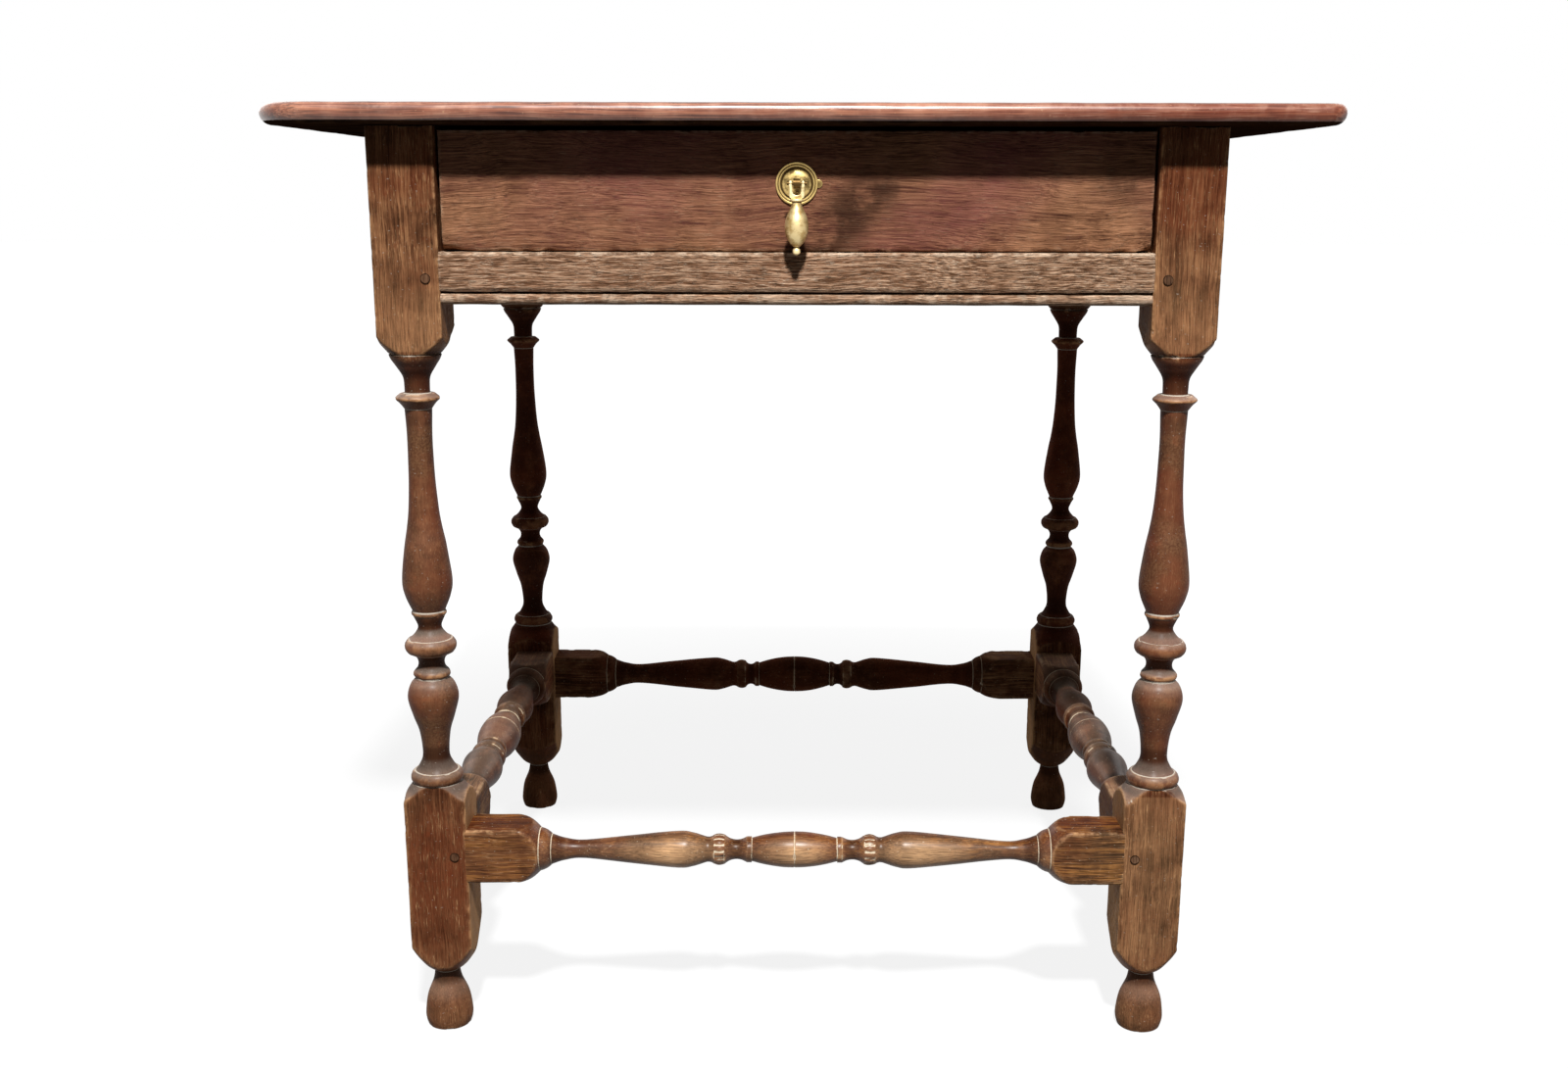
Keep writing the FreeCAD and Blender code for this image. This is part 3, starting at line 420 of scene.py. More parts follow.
def oak(name, grain, tones, wave=2.0, sweep=12.0, run=1.0, coarse=1.0, figure=1.0, mottle=1.0, fleck=0.3,
        furrow=0.4, red=0.5, tan=0.0, rough=0.6, relief=0.25, shine=0.02, polish=0.0, gloss=0.3,
        lively=1.0, dust_and_sheen=0.0):
    """Old oak: streaked along the grain, with furrows, flecks, patches, dirt in hollows and worn arrises.

    tones are dark, body, bright, warm, raw and dust. wave and sweep bend the grain by millimetres, and run
    and coarse stretch it along and across. figure is the strength of the streaks, mottle of the bands and
    stains, fleck of pale flecks, furrow of dark pores, red of warm patches and tan of faded ones. lively is
    what turned faces keep of the grain of planed ones, and bloom is the dust and dull wax on faces that look
    upward, laid pale enough to be a painted sheen of the lamp as well. relief is in millimetres, and polish
    is a coat of wax with the roughness gloss. It reads what the mesh notes as planed, swell, rubbed, wear,
    grime, ruddy, upward and dry."""
    finish, flow, spot = new_finish(name)
    plank = along_grain(spot, grain)
    wavy = drifted(drifted(plank, 160, 90, sweep), 30, 25, wave)
    bands = cloud(wavy, 260 * run, 11 * coarse)
    streaks = cloud(wavy, 70 * run, 2.4 * coarse)
    fibres = cloud(wavy, 34 * run, 1.0 * coarse)
    furrows = cloud(wavy, 20 * run, 0.9 * coarse, 1.0).step(0.52, 0.68)
    flecks = cloud(wavy, 11 * run, 0.8 * coarse, 1.0).step(0.58, 0.74)
    patches = cloud(spot, 95, 75)
    stains = cloud(spot, 26, 26, 4.0)
    spots = cloud(spot, 8, 8, 3.0)
    grains = cloud(spot, 1.5, 1.5)
    specks = cloud(spot, 2.4, 1.6, 1.0).step(0.70, 0.77)

    planed = flow.noted("planed")
    raw_grain = lively + (1 - lively) * planed
    swell = flow.noted("swell") * (1 - planed)
    hollow = (0 - swell).step(0.03, 0.7)
    wear = flow.noted("wear")
    grit = flow.noted("grime") * (0.55 + stains.step(0.35, 0.6))
    dark, body, bright, warm, raw, dust = [tone(code) for code in tones]
    deep = [0.35 * part for part in dark[:3]] + [1.0]

    # The wood itself, from dark over body to bright, and reddened.
    value = 0.5 + 1.2 * mottle * (bands - 0.5) + figure * raw_grain * (streaks + 1.6 * fibres - 1.3)
    value = value + 1.8 * mottle * (stains - 0.5)
    value = value + (1 - raw_grain) * (1.6 * (spots - 0.5) + 1.6 * (patches - 0.72) + 0.2 * swell)
    colour = value.rise(0.1, 0.5).lay(dark, body)
    colour = value.rise(0.5, 0.95).lay(colour, bright)
    ruddy = (red * (patches.step(0.40, 0.62) + 0.7 * (1 - raw_grain)) * (0.2 + 1.4 * stains)
             + 0.6 * red * spots.step(0.60, 0.70)
             + flow.noted("ruddy") * (0.1 + 1.3 * stains))
    colour = ruddy.at_most(1.0).lay(colour, warm)

    # Raw wood where it is faded or flecked, where it is worn and where light is painted on, and dark pores
    # and hollows.
    tanned = (stains + 0.6 * patches).step(0.86, 0.66) * (0.2 + 0.8 * grains.step(0.36, 0.66)) * (1 - hollow)
    # Wear together with painted light and painted highlights, as the mesh notes them.
    rubbed_and_lit = flow.noted("rubbed_and_lit") * (0.2 + 1.4 * fibres) * (0.2 + 1.5 * stains)
    colour = (tan * tanned * (1 - 0.8 * planed)).lay(colour, raw)
    colour = rubbed_and_lit.at_most(1.0).lay(colour, raw)
    colour = (fleck * flecks * raw_grain * stains.step(0.38, 0.60)).at_most(1.0).lay(colour, raw)
    colour = (furrow * furrows * raw_grain * (0.2 + 1.2 * streaks)).at_most(1.0).lay(colour, deep)
    colour = (0.7 * hollow * (0.4 + 1.0 * stains)).at_most(1.0).lay(colour, deep)

    # Specks, worn arrises, dust that lies on top with a painted sheen on it, and dirt in the corners.
    colour = (0.35 * specks).lay(colour, dust)
    colour = (wear * (0.10 + 0.6 * (stains + spots).step(0.92, 1.15))).at_most(1.0).lay(colour, raw)
    # Dust on faces that look upward, laid thick and pale enough to be a painted sheen of the lamp there too.
    dust_and_sheen_on_top = dust_and_sheen * flow.noted("upward").step(0.1, 0.7) * (0.25 + 1.5 * stains)
    colour = (dust_and_sheen_on_top * (0.6 + 0.8 * fibres)).at_most(1.0).lay(colour, dust)
    colour = grit.step(0.08, 0.7).lay(colour, dust)

    ridges = raw_grain * (fibres - furrow * furrows + fleck * flecks)
    height = 0.5 * streaks + ridges + 0.7 * stains + 0.5 * spots
    glaze = polish * (1 - 0.95 * planed) * (0.4 + 1.2 * stains) * (1 - grit.at_most(1.0)) * (1 - 0.6 * hollow)
    feed(finish, {
        "Base Color": colour,
        "Roughness": rough + 0.2 * (fibres - 0.5) + 0.3 * (stains - 0.5) + 0.3 * grit - 0.08 * wear,
        "Normal": height.bump(relief * millimetre),
        "Specular IOR Level": shine,
        "Coat Weight": glaze * (1 - flow.noted("dry")),
        "Coat Roughness": gloss,
    })
    return finish


# The raw tone also paints light on the legs' inner faces, and the last, pale grey tone is dust and also a
# painted sheen on faces that look upward.
leg_tones = ("301a0e", "633e28", "946846", "652d18", "c49468", "bdb1a2")
front_leg_oak = oak("front leg oak", "Z", leg_tones, coarse=0.8, figure=0.9, mottle=0.7, fleck=0.9,
                    lively=0.25, tan=0.15, polish=0.22, gloss=0.36, relief=0.35, dust_and_sheen=0.2)
rear_leg_oak = oak("rear leg oak", "Z", leg_tones, figure=0.9, rough=0.75, lively=0.15, polish=0.03)


def scuffed_and_lit(vert, bare):
    """How far a leg is worn pale: on the front of its lower square, near the floor and at the foot of its
    upper square.
    Its inner faces there are made pale by wear and by painted light, and the front of its turning is a little
    lighter.
    bare is the share on the lower square's front."""
    height, facing = vert.co.z, max(0, -vert.normal.y)
    on_lower_square = 50 < height < 200
    on_turning = 206 < height < 520
    on_upper_square = height > 540
    # Inner faces of the lower square: wear, and painted light as if the lamp lit them from the front.
    inner = clamped((vert.normal.x - 0.6) / 0.3) * on_lower_square
    low = 0.15 * clamped((95 - height) / 50)
    post = 0.3 * clamped((620 - height) / 60) * on_upper_square
    front_of_turning_lighter = 0.08 * facing ** 3 * on_turning
    return max(inner, low, post, front_of_turning_lighter, bare * facing * on_lower_square)


leg_places = {
    "leg_front_left": (1, 1), "leg_front_right": (-1, 1),
    "leg_rear_left": (1, -1), "leg_rear_right": (-1, -1),
}
foot_top = 42
reddened_height = 135
for name, (hand, end) in leg_places.items():
    mesh = turned(leg_turning, 136)
    plane_squares(mesh, leg_faces, leg_squares)
    planed = mesh.verts.layers.float["planed"]
    ruddy = mesh.verts.layers.float.new("ruddy")
    for vert in mesh.verts:
        height = vert.co.z
        vert[planed] = max(vert[planed], 0.7 * clamped((foot_top - height) / 15))
        vert[ruddy] = 0.45 * fading(abs(height - reddened_height), 75) * (name == "leg_front_left")
    bare = 0.25 if name == "leg_front_right" else 0.05
    note_rubbed_and_lit(mesh, lambda vert: scuffed_and_lit(vert, bare))
    mirror = Matrix.Diagonal((hand, end, 1, 1))
    place = mirror @ Matrix.Translation((-leg_spacing[0] / 2, -leg_spacing[1] / 2, 0))
    bmesh.ops.transform(mesh, matrix=place, verts=mesh.verts)
    bmesh.ops.recalc_face_normals(mesh, faces=mesh.faces)
    weather(mesh, hollow=0.35, chip=3.0)
    leg = piece_of(mesh, name + "_turned", front_leg_oak if end == 1 else rear_leg_oak)
    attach(leg, "frame")
    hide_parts(name)


# Stretchers. Four turned bars of the same oak, with a barrel, rings and two vases between planed ends,
# tenoned low into the legs. Feet have worn the front one thin and bright, and its front is also painted lit,
# darker towards its top and bottom.

bar_blank = 29.7
long_half, side_half = 257, 212
front_members = [
    # barrel and fillet
    [(0, 13.9), (0.5, 14.3)],
    [(0.5, 14.3), (8.5, 14), (17, 13), (25.4, 11.5), (33.6, 9.4)],
    [(33.6, 9.4), (33.6, 10.4)],
    [(33.6, 10.4), (37.4, 10.4)],
    # cove and ring
    [(37.4, 10.4), (41.7, 8.4), (46.4, 7.9), (51, 9), (55, 11.6)],
    [(55, 11.6), (57, 12.3), (59.2, 12.6), (61.4, 12.3), (63.4, 11.6)],
    [(63.4, 11.6), (65.1, 10.5), (67, 10), (68.9, 10.1), (70.8, 10.7)],
    # vase, collar, shoulder and square
    [(70.8, 10.7), (80, 13.5), (91.3, 14.6), (126.2, 11.4), (165.1, 7.4), (181, 9), (191, 12.1)],
    [(191, 12.1), (192.9, 13.9), (195.1, 15.4), (197.5, 16.5), (200, 17.2)],
    [(200, 17.2), (204.3, 21.3), (209.1, 24.8), (214.4, 27.6), (220, bar_blank)],
    [(220, bar_blank), (long_half, bar_blank)],
    [(long_half, bar_blank), (long_half, 0)],
]
stout_middle = [
    # barrel and fillet
    [(0, 18.6), (0.5, 19)],
    [(0.5, 19), (9.6, 18.6), (19.2, 17.3), (28.6, 15.2), (37.8, 12.4)],
    [(37.8, 12.4), (37.8, 13.4)],
    [(37.8, 13.4), (41.6, 13.4)],
    # cove and ring
    [(41.6, 13.4), (44.1, 11.4), (47.2, 10.9), (50.2, 12.1), (52.2, 14.6)],
    [(52.2, 14.6), (54.2, 15.3), (56.4, 15.6), (58.6, 15.3), (60.6, 14.6)],
    [(60.6, 14.6), (62.3, 13.5), (64.2, 13), (66.1, 13.1), (68, 13.7)],
]
stout_end = [
    # collar, shoulder and square, measured from the bar's end
    [(-66, 15.1), (-64.1, 16.9), (-61.9, 18.4), (-59.5, 19.5), (-57, 20.2)],
    [(-57, 20.2), (-52.5, 23.4), (-47.6, 26.1), (-42.4, 28.2), (-37, bar_blank)],
    [(-37, bar_blank), (0, bar_blank)],
    [(0, bar_blank), (0, 0)],
]
rear_vase = [(68, 13.7), (77.2, 16.5), (88.5, 17.6), (124.4, 14.4), (164.3, 10.4), (180.8, 12), (191, 15.1)]
side_vase = [(68, 13.7), (77.2, 16.5), (88.5, 17.6), (108.6, 14.4), (131.1, 10.4), (140.2, 12), (146, 15.1)]
stretcher_faces = {(1, 0): 22, (-1, 0): 22, (0, -1): 18, (0, 1): 20}
square_length = 57
gouged_ring = (55, 63.4)
gouge_count = 14
gouge_depth = 0.7


def stout_members(vase, half):
    """Half of a stretcher that isn't worn, from its middle to its end."""
    end = [[(half + place, radius) for place, radius in member] for member in stout_end]
    return stout_middle + [vase] + end


def stretcher_mesh(half_members, half):
    """Bar turned about Z through its middle, planed square at both ends."""
    mirrored = [[(-height, radius) for height, radius in reversed(member)]
                for member in reversed(half_members)]
    mesh = turned(mirrored + half_members, 96)
    squares = ((-half, square_length - half), (half - square_length, half))
    plane_squares(mesh, stretcher_faces, squares)
    return mesh


def gouge(mesh):
    """Notches cut all round the two rings beside the barrel."""
    for vert in mesh.verts:
        if gouged_ring[0] < abs(vert.co.z) < gouged_ring[1]:
            angle = math.atan2(vert.co.y, vert.co.x)
            depth = gouge_depth * max(0, math.cos(gouge_count * angle)) ** 3
            vert.co -= depth * Vector((math.cos(angle), math.sin(angle), 0))


def shoe_wear_and_light(vert):
    """How far shoes have worn the front stretcher pale: most on the front of its swells. It falls off as the
    face turns away from the front, so it also paints light on the front and shade towards the top and bottom.
    """
    along = abs(vert.co.z)
    barrel = fading(along, 30)
    belly = fading(abs(along - 98), 45)
    return min(1, 0.1 + 0.8 * (barrel + belly)) * max(0, -vert.normal.y) ** 2


def frame_axes(along, outward, origin):
    """Matrix that lays the bar's Z along one axis, its outer face (-Y) outward and its X upright."""
    columns = [Vector((0, 0, 1)), -Vector(outward), Vector(along)]
    turn = Matrix(columns).transposed().to_4x4()
    return Matrix.Translation(origin) @ turn


bar_tones = ("341e10", "603c27", "956e4c", "5f2c18", "bf9a74", "d3c2a8")
# The raw tone of the front bar lays both the shoe wear and the painted light on its front.
foot_bar_tones = ("2c170b", "55321c", "98642f", "60290f", "d8aa7c", "dccbb0")
foot_bar_oak = oak("foot bar oak", "X", foot_bar_tones, figure=1.4, fleck=0.4, furrow=0.6, rough=0.5,
                   polish=0.45, gloss=0.32, relief=0.4, tan=0.1, lively=0.7)
rear_bar_oak = oak("rear bar oak", "X", bar_tones, rough=0.75, polish=0.03, lively=0.3)
side_bar_oak = oak("side bar oak", "Y", bar_tones, rough=0.6, polish=0.3, gloss=0.35, lively=0.3, dust_and_sheen=0.08)
side_inset = 4
long_y, side_x = leg_spacing[1] / 2, leg_spacing[0] / 2 - side_inset
long_height, side_height = 149, 160
rear_members = stout_members(rear_vase, long_half)
side_members = stout_members(side_vase, side_half)
along_x, along_y = (1, 0, 0), (0, 1, 0)
stretcher_places = {
    "front_stretcher":
        (front_members, long_half, along_x, (0, -1, 0), (0, -long_y, long_height), foot_bar_oak),
    "rear_stretcher":
        (rear_members, long_half, along_x, (0, 1, 0), (0, long_y, long_height), rear_bar_oak),
    "side_stretcher_left":
        (side_members, side_half, along_y, (-1, 0, 0), (-side_x, 0, side_height), side_bar_oak),
    "side_stretcher_right":
        (side_members, side_half, along_y, (1, 0, 0), (side_x, 0, side_height), side_bar_oak),
}
for name, (members, half, along, outward, middle, finish) in stretcher_places.items():
    mesh = stretcher_mesh(members, half)
    if name == "front_stretcher":
        gouge(mesh)
        # Shoe wear, and painted light on the front of the bar.
        note_rubbed_and_lit(mesh, shoe_wear_and_light)
    place = frame_axes(along, outward, middle)
    bmesh.ops.transform(mesh, matrix=place, verts=mesh.verts)
    bmesh.ops.recalc_face_normals(mesh, faces=mesh.faces)
    weather(mesh, hollow=0.35, chip=3.0)
    dry = mesh.verts.layers.float.new("dry")
    ruddy = mesh.verts.layers.float.new("ruddy")
    wear = mesh.verts.layers.float["wear"]
    for vert in mesh.verts:
        vert[dry] = clamped((vert.co.y + 60) / 160)
        if name == "front_stretcher" and gouged_ring[0] < abs(vert.co.x) < gouged_ring[1]:
            vert[wear] *= 0.25
            vert[ruddy] = 0.6
    bar = piece_of(mesh, name + "_turned", finish)
    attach(bar, "frame")
    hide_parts(name)


# Front rail. A plank under the drawer, tenoned into the front legs and pegged, with a quirked bead run
# along its lower edge. Its open grain has weathered into ridges.

rail_length = 514
rail_front, rail_back = -257, -232
rail_low, rail_high = 574, 611.5
bead = 4.3
quirk = 1.6
bead_steps = 12
rail_chamfer = 1
above_bead = rail_low + 10


def extrude(mesh, faces, way):
    """Draws the faces out along the way, with walls behind them."""
    grown = bmesh.ops.extrude_face_region(mesh, geom=faces)["geom"]
    bmesh.ops.translate(mesh, vec=way, verts=[part for part in grown if isinstance(part, bmesh.types.BMVert)])


def cut_across(mesh, place, normal, **options):
    """Cuts every face that the plane crosses."""
    return bmesh.ops.bisect_plane(mesh, geom=mesh.verts[:] + mesh.edges[:] + mesh.faces[:], dist=0.0001,
                                  plane_co=place, plane_no=normal, **options)


def plank_cuts(mesh, axis, low, high, step):
    """Cuts across the mesh at even places, so that it has points to dent."""
    normal = [float(number == axis) for number in range(3)]
    for number in range(1, round((high - low) / step)):
        cut_across(mesh, [value * (low + number * step) for value in normal], normal)


mesh = bmesh.new()
section = [(rail_back, rail_low)]
for number in range(bead_steps + 1):
    angle = math.radians(-90 - 180 * number / bead_steps)
    section.append((rail_front + bead + bead * math.cos(angle), rail_low + bead + bead * math.sin(angle)))
section += [(rail_front, rail_low + 2 * bead + quirk), (rail_front, rail_high - rail_chamfer),
            (rail_front + rail_chamfer, rail_high), (rail_back, rail_high)]
end_face = mesh.faces.new([mesh.verts.new((-rail_length / 2, y, z)) for y, z in section])
extrude(mesh, [end_face], (rail_length, 0, 0))
plank_cuts(mesh, 0, -rail_length / 2, rail_length / 2, 3)
plank_cuts(mesh, 2, above_bead, rail_high, 3)
bmesh.ops.recalc_face_normals(mesh, faces=mesh.faces)
weather(mesh, hollow=0.5, chip=3.0)
rail_tones = ("5c402d", "967156", "c4a286", "7a4d35", "e8d2b8", "2e1c12")
rail_oak = oak("front rail oak", "X", rail_tones, wave=1.2, sweep=14, run=0.5, coarse=0.6, figure=2.0,
               mottle=0.2, fleck=0.6, furrow=0.7, red=0.2, relief=0.6)
front_rail = piece_of(mesh, "front_rail_moulded", rail_oak)
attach(front_rail, "frame")
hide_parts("front_rail")


# Back rail and side rails. Planks of the apron's full height, tenoned and pegged like the front one.
# They are of dull dark oak and keep their plain solid shape.

def dress(names, finish):
    """Puts a finish on pieces that keep their plain solid shape."""
    for name in names:
        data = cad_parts[name].data
        data.materials.clear()
        data.materials.append(finish)


apron_tones = ("2a1b12", "5d402b", "80603f", "633a24", "a88a66", "a08a6e")
dress(["back_rail"], oak("back rail oak", "X", apron_tones, sweep=30, furrow=0.6, relief=0.4))
dress(["side_rail_left", "side_rail_right"],
      oak("side rail oak", "Y", apron_tones, sweep=30, furrow=0.6, relief=0.4))


# Top. Three planks edge to edge, pegged down on the rails, with a rounded edge and one corner worn away.
# Wax and hands have polished its upper side and edge red brown; the underside is dull and dark.

top_half_x, top_half_y = 378, 286
top_low, top_high = 698, 713
corner_radii = {(-1, -1): 42, (1, -1): 14, (1, 1): 14, (-1, 1): 14}
upper_rounding, lower_rounding = 6, 8.5
seams = (-70, 90)
seam_chamfer = 0.5
clean_seam = 5


def block(*spans):
    """Box between a low and a high value on each axis."""
    mesh = bmesh.new()
    bmesh.ops.create_cube(mesh, size=1)
    bmesh.ops.scale(mesh, vec=[high - low for low, high in spans], verts=mesh.verts)
    bmesh.ops.translate(mesh, vec=[(low + high) / 2 for low, high in spans], verts=mesh.verts)
    return mesh


def round_off(mesh, edges, radius, segments):
    """Rounds edges off, or chamfers them where there is one segment."""
    bmesh.ops.bevel(mesh, geom=edges, offset=radius, offset_type="OFFSET", segments=segments, profile=0.5,
                    affect="EDGES", material=-1, clamp_overlap=False)


slab = block((-top_half_x, top_half_x), (-top_half_y, top_half_y), (top_low, top_high))
for (x, y), radius in corner_radii.items():
    corner = Vector((x * top_half_x, y * top_half_y))
    upright = [edge for edge in slab.edges if all((vert.co.xy - corner).length < 1 for vert in edge.verts)]
    round_off(slab, upright, radius, round(radius / 2))
for level, radius in ((top_high, upper_rounding), (top_low, lower_rounding)):
    rim = [edge for edge in slab.edges if all(abs(vert.co.z - level) < 0.01 for vert in edge.verts)]
    round_off(slab, rim, radius, 8)
plank_cuts(slab, 0, -top_half_x, top_half_x, 5)
plank_cuts(slab, 1, -top_half_y, top_half_y, 11)

edge_tones = ("4c2212", "8a5038", "b07254", "682610", "d8ac90", "c9a27a")
under_tones = ("1d120c", "38251a", "523a27", "382013", "6b5642", "6b5642")
upper_tones = ("35190e", "663a28", "88553d", "53200f", "a8785c", "8f6a4c")
waxed = dict(wave=1, sweep=8, run=2.5, figure=1.3, mottle=0.5, red=0.2, rough=0.4, relief=0.12, shine=0.2)
edge_oak = oak("top edge oak", "X", edge_tones, polish=1.0, **waxed)
upper_oak = oak("top face oak", "X", upper_tones, polish=0.6, **waxed)
under_oak = oak("underside oak", "X", under_tones, sweep=25, rough=0.8, shine=0.0)
boards = {
    "top_board_front": (-top_half_y - 1, seams[0]),
    "top_board_middle": seams,
    "top_board_rear": (seams[1], top_half_y + 1),
}
for name, span in boards.items():
    mesh = slab.copy()
    for place, side in zip(span, (-1, 1)):
        cut = cut_across(mesh, (0, place, 0), (0, side, 0), clear_outer=True)
        rim = [part for part in cut["geom_cut"] if isinstance(part, bmesh.types.BMEdge)]
        if rim:
            bmesh.ops.holes_fill(mesh, edges=rim, sides=0)
            upper_rim = [edge for edge in rim if all(vert.co.z > top_high - 0.1 for vert in edge.verts)]
            round_off(mesh, upper_rim, seam_chamfer, 1)
    bmesh.ops.recalc_face_normals(mesh, faces=mesh.faces)
    for face in mesh.faces:
        face.material_index = 1 if face.normal.z < -0.75 else 2 * (face.normal.z > 0.95)
    weather(mesh, hollow=0.5, chip=2.5)
    wear = mesh.verts.layers.float["wear"]
    ruddy = mesh.verts.layers.float.new("ruddy")
    dry = mesh.verts.layers.float.new("dry")
    for vert in mesh.verts:
        faded = 0.7 * clamped((vert.co.x - 60) / 200)
        vert[ruddy] = faded
        vert[dry] = faded
        if any(abs(vert.co.y - seam) < clean_seam for seam in seams):
            vert[wear] = 0
    board = piece_of(mesh, name + "_waxed", edge_oak, under_oak, upper_oak)
    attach(board, "frame")
    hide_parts(name)
slab.free()


# Drawer front. One plank of purplish brown oak with a swirling figure, rebated behind for the sides and
# below for the bottom. Its lower edge and corners are chipped by years of sliding.

face_half = 253.5
face_y, face_back = -252, -232
face_low, face_high = 611.8, 695.5
side_rebate = 12
bottom_rebate = 6
side_lap = 12
bottom_top = 619.8
face_rounding = 1.2
tolerance = 0.01

mesh = block((-face_half, face_half), (face_y, face_back - side_rebate), (face_low, face_high))
for x in (side_lap - face_half, face_half - side_lap):
    cut_across(mesh, (x, 0, 0), (1, 0, 0))
cut_across(mesh, (0, 0, bottom_top), (0, 0, 1))
for low, depth in ((face_low, side_rebate - bottom_rebate), (bottom_top, bottom_rebate)):
    rear_y = max(vert.co.y for vert in mesh.verts)
    inner = []
    for face in mesh.faces:
        middle = face.calc_center_median()
        at_rear = face.normal.y > 0.9 and abs(middle.y - rear_y) < tolerance
        if at_rear and abs(middle.x) < face_half - side_lap and middle.z > low:
            inner.append(face)
    extrude(mesh, inner, (0, depth, 0))
    bmesh.ops.delete(mesh, geom=inner, context="FACES")
bmesh.ops.recalc_face_normals(mesh, faces=mesh.faces)
front_arris = []
for edge in mesh.edges:
    in_front = all(vert.co.y < face_y + tolerance for vert in edge.verts)
    at_end = any(abs(vert.co.x) > face_half - 1 for vert in edge.verts)
    at_rim = all(vert.co.z < face_low + tolerance or vert.co.z > face_high - tolerance for vert in edge.verts)
    if in_front and (at_end or at_rim):
        front_arris.append(edge)
round_off(mesh, front_arris, face_rounding, 3)
plank_cuts(mesh, 0, -face_half, face_half, 3)
plank_cuts(mesh, 2, face_low, face_high, 3)
for vert in mesh.verts:
    if vert.co.y < face_y + 3:
        x, rise = vert.co.x, vert.co.z - face_low
        ragged = fading(rise, 4) * (0.5 + noise.noise(Vector((x / 14, 0, 3))))
        left = fading(math.hypot((x + face_half) / 24, rise / 12), 1)
        right = fading(math.hypot((x - face_half) / 12, rise / 12), 1)
        end = fading(face_half + x, 4) * (0.4 + noise.noise(Vector((0, 5, vert.co.z / 7))))
        crumbled = 0.6 + 0.5 * noise.noise(vert.co / 4)
        vert.co.y += 2.2 * ragged + 3.5 * left * crumbled + 3 * right + 1.2 * end
        vert.co.z += 2.5 * (left + right) * (rise < 2)
weather(mesh, hollow=0.5, chip=2.5)


def swathe(distance, width):
    """One in the middle of a soft swathe, and next to nothing at twice its width."""
    return math.exp(-(distance / width) ** 2)


grime = mesh.verts.layers.float["grime"]
ruddy = mesh.verts.layers.float.new("ruddy")
for vert in mesh.verts:
    x, rise = vert.co.x, vert.co.z - face_low
    leaning = x - 0.9 * rise + 12 * noise.noise(vert.co / 25)
    purple = 0.55 * swathe(leaning - 88, 48)
    red_left = 0.009 * rise * swathe(x + 110, 90)
    stain = 0.34 * swathe(leaning - 14, 38) * clamped((75 - rise) / 30)
    corner = 0.3 * swathe(x - 235, 35) * swathe(rise - 50, 22)
    vert[ruddy] = max(purple, red_left)
    vert[grime] = max(vert[grime], stain, corner)
face_tones = ("4a2d20", "81593f", "a87858", "70393c", "b9977a", "24160f")
face_oak = oak("drawer face oak", "X", face_tones, wave=3, sweep=20, run=0.9, coarse=0.65, mottle=0.5,
               fleck=0.4, furrow=0.35, red=0.2, relief=0.4)
front = piece_of(mesh, "drawer_front_board", face_oak)
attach(front, "drawer")
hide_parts("drawer_front")


# Drawer box. Sides, back and two bottom boards of thin unfinished oak, lapped and nailed, and the
# runners, guides and stops that carry it inside the frame.

inside_tones = ("4c3626", "947250", "b0906a", "8c6442", "cbb28c", "b9a88e")
dress(["drawer_side_left", "drawer_side_right", "drawer_runner_left", "drawer_runner_right",
       "drawer_guide_left", "drawer_guide_right"], oak("inside oak", "Y", inside_tones))
dress(["drawer_back", "drawer_bottom_front", "drawer_bottom_rear", "drawer_stops"],
      oak("bottom oak", "X", inside_tones))


# Pegs. Cleft oak pins driven through the tenons of the rails and stretchers and into the rails from the
# top. Their ends stand a little proud, dirty round the rim.

peg_tones = ("34231a", "664935", "8a6c54", "5e3f2c", "94795c", "2c1d13")
peg_oak = oak("peg oak", "Z", peg_tones, relief=0.3)
dirty_rim = 0.9
for name in ("rail_pegs", "stretcher_pegs", "top_pegs"):
    mesh = bmesh.new()
    mesh.from_mesh(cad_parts[name].data)
    bmesh.ops.remove_doubles(mesh, verts=mesh.verts, dist=0.00001)
    bmesh.ops.scale(mesh, vec=[1 / millimetre] * 3, verts=mesh.verts)
    bmesh.ops.dissolve_limit(mesh, angle_limit=math.radians(2), verts=mesh.verts, edges=mesh.edges)
    grime = mesh.verts.layers.float.new("grime")
    ends = [face for face in mesh.faces if len(face.verts) > 5]
    for vert in mesh.verts:
        vert[grime] = 1
    bmesh.ops.inset_individual(mesh, faces=ends, thickness=dirty_rim, depth=0)
    for face in ends:
        for vert in face.verts:
            vert[grime] = 0
    pegs = piece_of(mesh, name + "_cleft", peg_oak)
    for face in pegs.data.polygons:
        face.use_smooth = False
    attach(pegs, "frame")
    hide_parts(name)


# Nails. Hand-forged iron with rusty heads, in the drawer's joints and in the runners, guides and stops.
# They keep their plain solid shape.

iron, flow, spot = new_finish("nail iron")
rust = flow.make("TexNoise", inputs={"Vector": spot, "Scale": 0.6, "Detail": 3.0})
rusted = rust.step(0.45, 0.65).lay(tone("2b2522"), tone("6b3a20"))
feed(iron, {"Base Color": rusted, "Roughness": 0.45 + 0.4 * rust, "Metallic": 0.6})
dress(["frame_nails", "drawer_nails"], iron)
